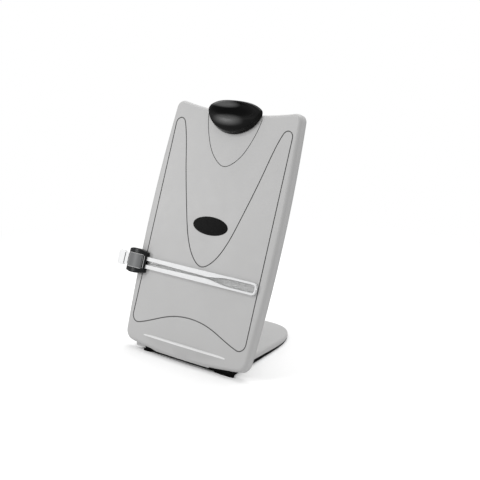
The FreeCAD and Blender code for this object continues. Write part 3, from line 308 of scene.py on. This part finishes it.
def edged_rail(name, start):
    """Rail under the panel's bottom edge: grey, and black right of start."""
    make = Finish(name)
    pores = make.cells(0.6 * MM)
    faced = make.along(ACROSS).between((start - 0.3) * MM, (start + 0.3) * MM)
    bare = make.blend(make.noise(30 * MM), grey(0.48, 0.004), grey(0.52, 0.004))
    dusty = make.blend(make.noise(3 * MM), grey(0.002), grey(0.005))
    return make.principled(
        Base_Color=make.blend(faced, bare, dusty),
        Roughness=0.6 + pores * 0.12, Specular_IOR_Level=0.06,
        Normal=make.bump(pores, 0.05 * MM, strength=0.3),
    )


def felt(name):
    """Pressed dark felt: tangled fibres and a soft nap."""
    make = Finish(name)
    fibres = make.noise(0.25 * MM, detail=6, rough=0.7)
    height = fibres * 0.7 + make.noise(1.6 * MM, detail=3) * 0.3
    return make.principled(
        Base_Color=make.blend(fibres, grey(0.012), grey(0.05, 0.02)),
        Roughness=0.95, Sheen_Weight=0.4,
        Normal=make.bump(height, 0.25 * MM, strength=0.7),
    )


def nylon(name):
    """Natural nylon, slightly yellow and waxy."""
    make = Finish(name)
    slow = make.noise(4 * MM)
    return make.principled(
        Base_Color=make.blend(slow, (0.60, 0.58, 0.52, 1), (0.68, 0.66, 0.61, 1)),
        Roughness=0.4 + slow * 0.1, Subsurface_Weight=0.15, Subsurface_Radius=(MM, MM, MM),
        Normal=make.bump(make.noise(0.5 * MM), 0.03 * MM, strength=0.3),
    )


def smoky_insert(name):
    """Smoky grey thumb plate, brushed across."""
    make = Finish(name)
    strokes = make.noise(0.35 * MM, detail=3, stretch=(0.04, 1, 1))
    return make.principled(
        Base_Color=make.blend(strokes, grey(0.11, -0.02), grey(0.155, -0.02)),
        Roughness=0.3 + strokes * 0.12, Coat_Weight=0.3,
        Normal=make.bump(strokes, 0.02 * MM, strength=0.3),
    )


def clear_acrylic(name):
    """Clear acrylic, clean but for faint hairlines."""
    make = Finish(name)
    hair = make.noise(0.5 * MM, detail=2, stretch=(0.03, 1, 1)).between(0.6, 0.75)
    return make.principled(
        Base_Color=(0.97, 0.98, 0.98, 1), Transmission_Weight=1.0, IOR=ACRYLIC_IOR,
        Roughness=0.04 + hair * 0.08, Alpha=0.45 + hair * 0.2,
        Normal=make.bump(hair, 0.01 * MM, strength=0.2),
    )


def frosted_acrylic(name):
    """The same acrylic where it is matted, milky in the light."""
    make = Finish(name)
    haze = make.noise(0.5 * MM, detail=4)
    drift = make.noise(18 * MM)
    return make.principled(
        Base_Color=make.blend(drift, (0.79, 0.795, 0.80, 1), (0.84, 0.845, 0.85, 1)),
        Roughness=0.22 + haze * 0.12, Transmission_Weight=0.1, IOR=ACRYLIC_IOR,
        Normal=make.bump(haze, 0.03 * MM, strength=0.3),
    )


# Ovals on the clip: middle across and up the panel, half sizes, and how pale or how rough they are. The pale ones
# are painted highlights, below the crest and on the upper left rim.
CLIP_PAINTED_SHEEN = ((-3, 332, 30, 9.5, 0.075), (-21, 354.5, 33, 6.5, 0.13))
CLIP_MATT = ((-2, 344.5, 62, 13, 0.75),)

# Where the black face of the rail starts, across the panel
RAIL_FACE = -71

FINISHES = {
    "panel_grey": moulded("light grey moulding", 0.50, warm=0.004),
    "cover_grey": moulded(
        "light grey back moulding", 0.47, warm=0.004, gloss=0.5, grain=0.6, depth=0.08
    ),
    # the clip's paler ovals are painted highlights
    "clip_black": satin_black("satin black clip", painted_sheen=CLIP_PAINTED_SHEEN, matt=CLIP_MATT),
    "plate_black": gloss_black("polished black inlay"),
    "bracket_black": painted("black painted bracket"),
    "steel": plated_steel("zinc plated steel"),
    "nylon": nylon("natural nylon"),
    "carriage_black": satin_black("blue-black carriage", level=0.005, tint=0.14, mirror=0.22),
    "thumb_grey": smoky_insert("smoky thumb plate"),
    "felt": felt("pressed felt"),
    "clear_bar": clear_acrylic("clear acrylic"),
    "base_black": satin_black("black foot tray", rough=0.5, mirror=0.04),
    "rubber_black": rubber("black rubber"),
}
SPRING = spring_wire("spring wire")
FROSTED = frosted_acrylic("frosted acrylic")
# dark floors and walls of the panel's grooves: painted shade
GROOVE_SHADE = moulded("painted shade in the moulding's grooves", 0.17, warm=0.004, gloss=0.6)
# pale beads on the thumb plate's rim and an edge: painted highlights
HIGHLIGHT_LINE = moulded("painted highlight line", 0.62, gloss=0.3, grain=0.2, depth=0.01, drift=0.02)
# dark bead in a groove near the carriage's side: painted shade
SHADE_LINE = satin_black("painted shade line", level=0.012, tint=0.14)
RAIL = edged_rail("rail under the panel", RAIL_FACE)
# pale colour on the ledge's rounded nose: a painted highlight
NOSE_HIGHLIGHT = moulded(
    "painted highlight on the nose of the paper ledge", 0.80, gloss=0.3, grain=0.2, depth=0.01, drift=0.02
)
# dark colour in the groove of the bar's pull tab: painted shade
TAB_GROOVE_SHADE = moulded("painted shade in the tab's groove", 0.16, gloss=0.4, grain=0.2, depth=0.01)


# Pieces made from the solids

WELD = 0.002
FLAT_ANGLE = math.radians(0.4)
CREASE_ANGLE = math.radians(30)
SHARP_ANGLE = math.radians(40)
EDGE_SEGMENTS = 2
FLAT_WEIGHT = 100  # the largest face at a corner decides its normal


def welded(node):
    """A closed copy of a node's mesh with its flat faces whole."""
    mesh = nodes[node].data.copy()
    mesh.materials.clear()
    shape = bmesh.new()
    shape.from_mesh(mesh)
    bmesh.ops.remove_doubles(shape, verts=shape.verts, dist=WELD * MM)
    bmesh.ops.dissolve_limit(
        shape, angle_limit=FLAT_ANGLE, verts=shape.verts, edges=shape.edges, delimit={"NORMAL"}
    )
    shape.to_mesh(mesh)
    shape.free()
    return mesh


def soften(piece, width):
    """Small rounded edges, as any moulding has, with flat faces kept flat."""
    if width:
        edge = piece.modifiers.new("edges", "BEVEL")
        edge.width = width * MM
        edge.segments = EDGE_SEGMENTS
        edge.limit_method = "ANGLE"
        edge.angle_limit = CREASE_ANGLE
        edge.use_clamp_overlap = True
        edge.harden_normals = False
    flat = piece.modifiers.new("flat faces", "WEIGHTED_NORMAL")
    flat.keep_sharp = True
    flat.weight = FLAT_WEIGHT


def within(across, up, out):
    """Test for the faces with their middle between these limits on the panel's axes."""

    def test(face):
        pairs = zip(panel_place(face.center), (across, up, out))
        return all(low < place < high for place, (low, high) in pairs)

    return test


def finish_node(node, edge, material=None, others=()):
    """Stands a finely edged piece in a node's place.

    others holds further finishes, each with the test that picks its faces.
    """
    mesh = welded(node)
    mesh.name = f"finished_{node}"
    mesh.materials.append(material or FINISHES[slots[node]])
    for number, (finish, where) in enumerate(others, start=1):
        mesh.materials.append(finish)
        for face in mesh.polygons:
            if where(face):
                face.material_index = number
    smooth(mesh)
    mesh.set_sharp_from_angle(angle=SHARP_ANGLE)
    piece = stand(f"finished_{node}", mesh)
    soften(piece, edge)
    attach(piece, body_of_node[node])
    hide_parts(node)


# Faces with a finish of their own: the panel's decorative grooves, darkened as painted shade, the rounded
# upper edge of its paper ledge, paled as a painted highlight, the straight rail behind its bowed bottom
# edge, and the groove of the bar's pull tab, darkened as painted shade
ANY = math.inf
BAR_UP, BAR_STRIP_HALF, BAR_STRIP_FLOOR = 117, 7, 2.6
# faces in the grooves, which get the painted shade
in_groove = within(across=(-104.5, 104.5), up=(30, 342), out=(-1.4, -0.04))
# faces on the ledge's nose, which get the painted highlight
on_nose = within(across=(-77, 77), up=(17.8, 21.2), out=(0.2, ANY))
on_rail = within(across=(-92, 92), up=(-ANY, 5.3), out=(-8.3, -3.2))
# faces in the tab's groove, which get the painted shade
in_tab_groove = within(
    across=(-133.6, -130.6), up=(BAR_UP - BAR_STRIP_HALF, BAR_UP + BAR_STRIP_HALF), out=(2.3, 4.1)
)


def on_rib(face):
    """True for the bar's faces outside its sunk strip."""
    _, up, out = panel_place(face.center)
    return out > BAR_STRIP_FLOOR or abs(up - BAR_UP) > BAR_STRIP_HALF


# Width of the rounded edges of each piece, in millimetres
EDGES = {
    "back_cover": 0.2, "name_plate": 0.1, "clip_bracket": 0.25, "clip_lever": 0.5,
    "clip_pad": 0.3, "clip_pin": 0.2, "carriage_front": 0.7, "carriage_plate": 0.2,
    "carriage_jaw": 0.3, "carriage_felt": 0.25, "hinge_pin": 0.2, "hinge_nut": 0.35,
    "hinge_washer_left": 0.1, "hinge_washer_right": 0.1, "foot_shell": 0.3, "foot_base": 0.4,
    "foot_pad_left": 0.35, "foot_pad_right": 0.35, "lip_pad_left": 0.35, "lip_pad_right": 0.35,
}
PANEL_EDGE, BAR_EDGE = 0.12, 0.3

for node, edge in EDGES.items():
    finish_node(node, edge)
finish_node("clip_spring", edge=0, material=SPRING)
# the grooves get painted shade, the ledge's nose a painted highlight
finish_node(
    "front_panel", PANEL_EDGE, others=[(GROOVE_SHADE, in_groove), (NOSE_HIGHLIGHT, on_nose), (RAIL, on_rail)]
)
# the tab's groove gets painted shade
finish_node("guide_bar", BAR_EDGE, others=[(FROSTED, on_rib), (TAB_GROOVE_SHADE, in_tab_groove)])


# Screws: one tree for all, with the size of each part of a screw as an input

SCREW_INPUTS = {
    "Head Radius": 2.7 * MM, "Crown Radius": 1.9 * MM, "Head Height": 1.6 * MM,
    "Shank Radius": 1.4 * MM, "Shank Length": 8 * MM,
    "Cross Width": 0.6 * MM, "Cross Depth": 1.0 * MM,
}
HEAD_SIDES, HEAD_RINGS, SHANK_SIDES = 32, 2, 20
CROSS_SPAN = 1.5  # the cross's length over the crown's radius


def screw_tree():
    """Geometry Nodes tree that stands a cross-recess screw on every point of its mesh."""
    tree = bpy.data.node_groups.new("screws", "GeometryNodeTree")
    face = tree.interface
    face.new_socket("Geometry", in_out="INPUT", socket_type="NodeSocketGeometry")
    for name, value in SCREW_INPUTS.items():
        size = face.new_socket(name, in_out="INPUT", socket_type="NodeSocketFloat")
        size.default_value = value
    face.new_socket("Turn", in_out="INPUT", socket_type="NodeSocketVector")
    face.new_socket("Finish", in_out="INPUT", socket_type="NodeSocketMaterial")
    face.new_socket("Geometry", in_out="OUTPUT", socket_type="NodeSocketGeometry")
    given = tree.nodes.new("NodeGroupInput").outputs

    def add(kind, settings=(), links=(), values=()):
        made = tree.nodes.new(kind)
        for key, value in dict(settings).items():
            setattr(made, key, value)
        for key, socket in dict(links).items():
            tree.links.new(socket, made.inputs[key])
        for key, value in dict(values).items():
            made.inputs[key].default_value = value
        return made

    def times(socket, factor):
        made = add("ShaderNodeMath", {"operation": "MULTIPLY"}, {0: socket}, {1: factor})
        return made.outputs[0]

    def lifted(mesh, height):
        away = add("ShaderNodeCombineXYZ", links={"Z": height}).outputs[0]
        return add("GeometryNodeTransform", links={"Geometry": mesh, "Translation": away})

    head = add(
        "GeometryNodeMeshCone",
        links={
            "Radius Top": given["Crown Radius"], "Radius Bottom": given["Head Radius"],
            "Depth": given["Head Height"],
        },
        values={"Vertices": HEAD_SIDES, "Side Segments": HEAD_RINGS},
    )
    shank = add(
        "GeometryNodeMeshCylinder",
        links={"Radius": given["Shank Radius"], "Depth": given["Shank Length"]},
        values={"Vertices": SHANK_SIDES},
    )
    shank = lifted(shank.outputs["Mesh"], times(given["Shank Length"], -0.5))
    span = times(given["Crown Radius"], CROSS_SPAN)
    depth = times(given["Cross Depth"], 2)
    blades = []
    for length, width in ((span, given["Cross Width"]), (given["Cross Width"], span)):
        extent = add("ShaderNodeCombineXYZ", links={"X": length, "Y": width, "Z": depth})
        blade = add("GeometryNodeMeshCube", links={"Size": extent.outputs[0]})
        blades.append(lifted(blade.outputs["Mesh"], given["Head Height"]).outputs[0])
    cross = add("GeometryNodeMeshBoolean", {"operation": "DIFFERENCE"})
    tree.links.new(head.outputs["Mesh"], cross.inputs["Mesh 1"])
    for blade in blades:
        tree.links.new(blade, cross.inputs["Mesh 2"])
    whole = add("GeometryNodeJoinGeometry")
    tree.links.new(cross.outputs["Mesh"], whole.inputs[0])
    tree.links.new(shank.outputs[0], whole.inputs[0])
    turn = add("FunctionNodeEulerToRotation", links={"Euler": given["Turn"]})
    spread = add(
        "GeometryNodeInstanceOnPoints",
        links={
            "Points": given["Geometry"], "Instance": whole.outputs[0], "Rotation": turn.outputs[0],
        },
    )
    real = add("GeometryNodeRealizeInstances", links={"Geometry": spread.outputs[0]})
    dressed = add(
        "GeometryNodeSetMaterial", links={"Geometry": real.outputs[0], "Material": given["Finish"]}
    )
    sink = tree.nodes.new("NodeGroupOutput")
    tree.links.new(dressed.outputs[0], sink.inputs[0])
    return tree


SCREWS = screw_tree()


def plain_mesh(holder, name):
    """The evaluated shape of an object as a plain mesh object, with its modifiers gone."""
    bpy.context.view_layer.update()
    evaluated = holder.evaluated_get(bpy.context.evaluated_depsgraph_get())
    mesh = bpy.data.meshes.new_from_object(evaluated)
    mesh.name = name
    bpy.data.objects.remove(holder)
    return stand(name, mesh)


def seat_of(node, direction):
    """Middle of the plane under a screw's head, and the shank's length, from the screw's solid."""
    side = direction.cross(ACROSS)
    spans = []
    for axis in (ACROSS, side, direction):
        places = [vertex.co.dot(axis) for vertex in nodes[node].data.vertices]
        spans.append((min(places), max(places)))
    (left, right), (low, high), (tip, top) = spans
    under = top - SCREW_INPUTS["Head Height"]
    return ACROSS * (left + right) / 2 + side * (low + high) / 2 + direction * under, under - tip


def screws(name, direction, members):
    """Screws in the places of their solids, with their heads towards the given direction."""
    seats = [seat_of(node, direction) for node in members]
    points = bpy.data.meshes.new(f"{name}_points")
    points.from_pydata([tuple(seat) for seat, _ in seats], [], [])
    holder = stand(f"{name}_points", points)
    modifier = holder.modifiers.new("screws", "NODES")
    modifier.node_group = SCREWS
    inputs = {
        item.name: item.identifier for item in SCREWS.interface.items_tree if item.in_out == "INPUT"
    }
    modifier[inputs["Shank Length"]] = seats[0][1]
    modifier[inputs["Turn"]] = direction.to_track_quat("Z", "Y").to_euler()
    modifier[inputs["Finish"]] = FINISHES["steel"]
    piece = plain_mesh(holder, name)
    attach(piece, body_of_node[members[0]])
    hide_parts(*members)


DOWN = Vector((0, 0, -1))
screws("cover_screws", -OUT, [f"cover_screw_{number}" for number in range(1, 7)])
screws("clip_screws", -OUT, ["clip_screw_left", "clip_screw_right"])
screws("carriage_screws", -OUT, ["carriage_screw_upper", "carriage_screw_lower"])
screws("foot_screws", DOWN, ["foot_screw_left", "foot_screw_right", "foot_screw_rear"])


# Thin lines on the carriage and the bar, the pale ones painted highlights and the dark ones painted shade; all
# places and sizes are in millimetres

RIM_INSET, RIM_RADIUS, RIM_STEPS = 0.35, 0.32, 14
LINE_STEPS = 4
TAB_LINE_ACROSS, TAB_LINE_UP, TAB_LINE_STEPS = -139.9, (109, 125), 8
TAB_LINE_RADIUS, TAB_LINE_SUNK = 0.85, 0.3
BEAD_RESOLUTION = 2
IN_FRONT, BELOW = 60, -40  # places outside the holder, out of the panel and up the panel


def surface(node):
    """A node's mesh as a tree to cast rays at."""
    mesh = nodes[node].data
    faces = [face.vertices[:] for face in mesh.polygons]
    return BVHTree.FromPolygons([vertex.co for vertex in mesh.vertices], faces)


def struck(tree, place, direction):
    """Where a ray from a place in the panel's axes meets a surface, in the same axes."""
    return panel_place(tree.ray_cast(PANEL @ (Vector(place) * MM), direction)[0])


def height_over(node):
    """Function that gives how far out of the panel a node's front lies at one place."""
    tree = surface(node)
    return lambda across, up: struck(tree, (across, up, IN_FRONT), -OUT).z


def thin_line(name, places, radius, finish, body, closed=False):
    """Round bead along places in the panel's axes."""
    curve = bpy.data.curves.new(name, "CURVE")
    curve.dimensions = "3D"
    curve.bevel_depth = radius * MM
    curve.bevel_resolution = BEAD_RESOLUTION
    curve.use_fill_caps = not closed
    line = curve.splines.new("POLY")
    line.points.add(len(places) - 1)
    for point, place in zip(line.points, places):
        point.co = (*(PANEL @ (Vector(place) * MM)), 1)
    line.use_cyclic_u = closed
    piece = plain_mesh(stand(name, curve), name)
    piece.data.materials.clear()
    piece.data.materials.append(finish)
    smooth(piece.data)
    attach(piece, body)


def steps(start, end, count):
    """Evenly spaced values from start to end."""
    return [start + (end - start) * number / count for number in range(count + 1)]


def node_span(node):
    """Lowest and highest places of a node across, up and out of the panel."""
    places = [panel_place(vertex.co) for vertex in nodes[node].data.vertices]
    return [(min(p[axis] for p in places), max(p[axis] for p in places)) for axis in range(3)]


def carriage_lines():
    """Pale rim round the thumb plate and two upright lines near the carriage's right side: the rim and the pale
    line are painted highlights on edges, the dark line is painted shade in a groove.
    """
    over_plate, over_front = height_over("carriage_plate"), height_over("carriage_front")
    (left, right), (low, high), _ = node_span("carriage_plate")
    left, right, low, high = left + RIM_INSET, right - RIM_INSET, low + RIM_INSET, high - RIM_INSET
    edge = [(across, low) for across in steps(left, right, RIM_STEPS)]
    edge += [(across, high) for across in steps(right, left, RIM_STEPS)]
    rim = [(across, up, over_plate(across, up)) for across, up in edge]
    thin_line("plate_rim", rim, RIM_RADIUS, HIGHLIGHT_LINE, "carriage", closed=True)

    (_, side), _, _ = node_span("carriage_front")
    middle = (low + high) / 2
    # a pale line of painted highlight on an edge, a dark line of painted shade in a groove
    for name, inset, half, radius, finish, over in (
        ("highlight_line", 2.3, 9.0, 0.35, HIGHLIGHT_LINE, over_front),
        ("shade_line", 5.6, 9.6, 0.5, SHADE_LINE, over_plate),
    ):
        across = side - inset
        ups = steps(middle - half, middle + half, LINE_STEPS)
        run = [(across, up, over(across, up)) for up in ups]
        thin_line(name, run, radius, finish, "carriage")


def tab_groove_shade():
    """Dark line across the bar's pull tab: painted shade along its groove."""
    over_bar = height_over("guide_bar")
    run = [
        (TAB_LINE_ACROSS, up, over_bar(TAB_LINE_ACROSS, up) - TAB_LINE_SUNK)
        for up in steps(*TAB_LINE_UP, TAB_LINE_STEPS)
    ]
    thin_line("tab_groove_shade", run, TAB_LINE_RADIUS, TAB_GROOVE_SHADE, "bar")


carriage_lines()
tab_groove_shade()


# Black strip under the panel's bottom edge, with a pad near each end, in millimetres

STRIP_ENDS, STRIP_STEPS = (-76, 88), 86
SECTION_SIDES = 4
STRIP_FRONT, STRIP_BACK = -9.0, -10.9  # out of the panel
STRIP_CLEAR, PAD_CLEAR = 0.8, 0.02  # above the desk
STRIP_TUCK = 0.1  # into the panel's bottom edge
LEVEL_END = 86  # the panel's bottom edge turns up further out, and the strip doesn't follow it
PADS = ((-70, 8), (72, 17))  # middle and half length of the left and the right pad
PAD_SWELL = 1.5
PANEL_SURFACE = surface("front_panel")


def underside(across, out):
    """Height up the face at which the panel's bottom edge begins."""
    return struck(PANEL_SURFACE, (across, BELOW, out), UP_FACE).y


def desk_line(out):
    """Height up the face at which the desk lies."""
    point = PANEL @ Vector((0, 0, out * MM))
    return -point.z / UP_FACE.z / MM


def strip_section(across):
    """Corners of the strip, up and out of the panel: upper back and front, lower front and back."""
    front, back, clear = STRIP_FRONT, STRIP_BACK, STRIP_CLEAR
    middle, half = PADS[across > 0]
    reach = 1 - ((across - middle) / half) ** 2
    if reach > 0:
        front, clear = front + PAD_SWELL * math.sqrt(reach), PAD_CLEAR
    top = min(underside(across, front), underside(LEVEL_END, front)) + STRIP_TUCK
    lower_front, lower_back = desk_line(front) + clear, desk_line(back) + clear
    return [(top, back), (top, front), (lower_front, front), (lower_back, back)]


def lip_strip():
    """The strip as one closed mesh through its sections."""
    corners, faces = [], []
    for across in steps(*STRIP_ENDS, STRIP_STEPS):
        corners += [PANEL @ (Vector((across, up, out)) * MM) for up, out in strip_section(across)]
    last = len(corners) - SECTION_SIDES
    for ring in range(0, last, SECTION_SIDES):
        for side in range(SECTION_SIDES):
            first, second = ring + side, ring + (side + 1) % SECTION_SIDES
            faces.append((first, second, second + SECTION_SIDES, first + SECTION_SIDES))
    faces += [range(SECTION_SIDES)[::-1], range(last, len(corners))]
    mesh = bpy.data.meshes.new("lip_strip")
    mesh.from_pydata(corners, [], faces)
    shape = bmesh.new()
    shape.from_mesh(mesh)
    bmesh.ops.recalc_face_normals(shape, faces=shape.faces)
    shape.to_mesh(mesh)
    shape.free()
    mesh.materials.append(FINISHES["rubber_black"])
    piece = stand("lip_strip", mesh)
    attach(piece, "panel")


lip_strip()


# Stage, light and camera, in metres

FLOOR_HALF = 40.0
FLOOR_GREY, FLOOR_SEEN = 0.8, 1.07  # as the object meets it, and as the camera does
FLOOR_FADE = (0.30, 0.75)  # distances over which the floor turns plain white
WORLD_LEVEL = 0.68
LAMPS = {  # place, aim, size and power
    "key": ((-1.65, -1.72, 0.88), (0, 0.03, 0.3), (0.36, 0.28), 7.6),
    "upper": ((-0.35, -0.55, 0.95), (0, 0.03, 0.33), (0.24, 0.20), 1.8),
    "top": ((-0.1, 0.60, 1.5), (0, 0, 0.1), (1.3, 0.8), 11),
}
SENSOR_SIDE = 36
PHOTO_SIDE, PHOTO_FOCAL = 480, 1097  # pixels
CAMERA_PLACE = (0.97695, -1.1175, 0.5441)
CAMERA_TURN, CAMERA_DROP = math.radians(40), math.radians(14.86)
CAMERA_CLIP = (0.05, 100)


def seen_directly(tree):
    """Socket that is 1 for the camera's rays, also through clear plastic, and 0 for others."""
    rays = tree.nodes.new("ShaderNodeLightPath")
    either = tree.nodes.new("ShaderNodeMath")
    either.operation = "MAXIMUM"
    for ray, socket in zip(("Is Camera Ray", "Is Transmission Ray"), either.inputs):
        tree.links.new(rays.outputs[ray], socket)
    return either.outputs[0]


def backdrop():
    """White floor that keeps the object's shadow and fades to white away from it."""
    make = Finish("white floor")
    mesh = bpy.data.meshes.new("floor")
    near, far = -FLOOR_HALF, FLOOR_HALF
    corners = [(near, near, 0), (far, near, 0), (far, far, 0), (near, far, 0)]
    mesh.from_pydata(corners, [], [(0, 1, 2, 3)])
    floor = stand("floor", mesh)
    direct = Shade(make, seen_directly(make.tree))
    plain = make.node("ShaderNodeBsdfDiffuse", {}, Color=grey(FLOOR_GREY))
    bright = make.node("ShaderNodeBsdfDiffuse", {}, Color=grey(FLOOR_SEEN))
    lit = make.node("ShaderNodeMixShader", {}, direct, plain, bright)
    white = make.node("ShaderNodeEmission", {}, Color=grey(1.0), Strength=1.0)
    distance = make.node(
        "ShaderNodeVectorMath", {"operation": "LENGTH"}, make.place(), output="Value"
    )
    away = distance.between(*FLOOR_FADE) * direct
    floor.data.materials.append(make.done(make.node("ShaderNodeMixShader", {}, away, lit, white)))


def area_light(name, place, aim, size, power):
    """Rectangular lamp that shines from its place at its aim."""
    lamp = bpy.data.lights.new(name, "AREA")
    lamp.shape = "RECTANGLE"
    lamp.size, lamp.size_y = size
    lamp.energy = power
    holder = stand(name, lamp)
    holder.location = place
    holder.rotation_euler = (Vector(aim) - Vector(place)).to_track_quat("-Z", "Y").to_euler()


def world_light():
    """Even light from all round, which the camera sees as plain white."""
    world = bpy.data.worlds.new("studio")
    world.use_nodes = True
    tree = world.node_tree
    tree.nodes.clear()
    mix = tree.nodes.new("ShaderNodeMixShader")
    tree.links.new(seen_directly(tree), mix.inputs[0])
    for strength, socket in zip((WORLD_LEVEL, 1.0), mix.inputs[1:]):
        glow = tree.nodes.new("ShaderNodeBackground")
        glow.inputs["Color"].default_value = grey(1.0)
        glow.inputs["Strength"].default_value = strength
        tree.links.new(glow.outputs[0], socket)
    out = tree.nodes.new("ShaderNodeOutputWorld")
    tree.links.new(mix.outputs[0], out.inputs["Surface"])
    bpy.context.scene.world = world


def photo_camera():
    """Camera in the place from which the photograph was taken."""
    camera = bpy.data.cameras.new("camera")
    camera.sensor_width = SENSOR_SIDE
    camera.lens = SENSOR_SIDE * PHOTO_FOCAL / PHOTO_SIDE
    camera.clip_start, camera.clip_end = CAMERA_CLIP
    holder = stand("camera", camera)
    level = math.cos(CAMERA_DROP)
    look = Vector((
        -math.sin(CAMERA_TURN) * level, math.cos(CAMERA_TURN) * level, -math.sin(CAMERA_DROP)
    ))
    holder.location = CAMERA_PLACE
    holder.rotation_euler = look.to_track_quat("-Z", "Y").to_euler()
    bpy.context.scene.camera = holder


backdrop()
world_light()
for name, settings in LAMPS.items():
    area_light(name, *settings)
photo_camera()

bpy.context.scene.view_settings.view_transform = "Standard"
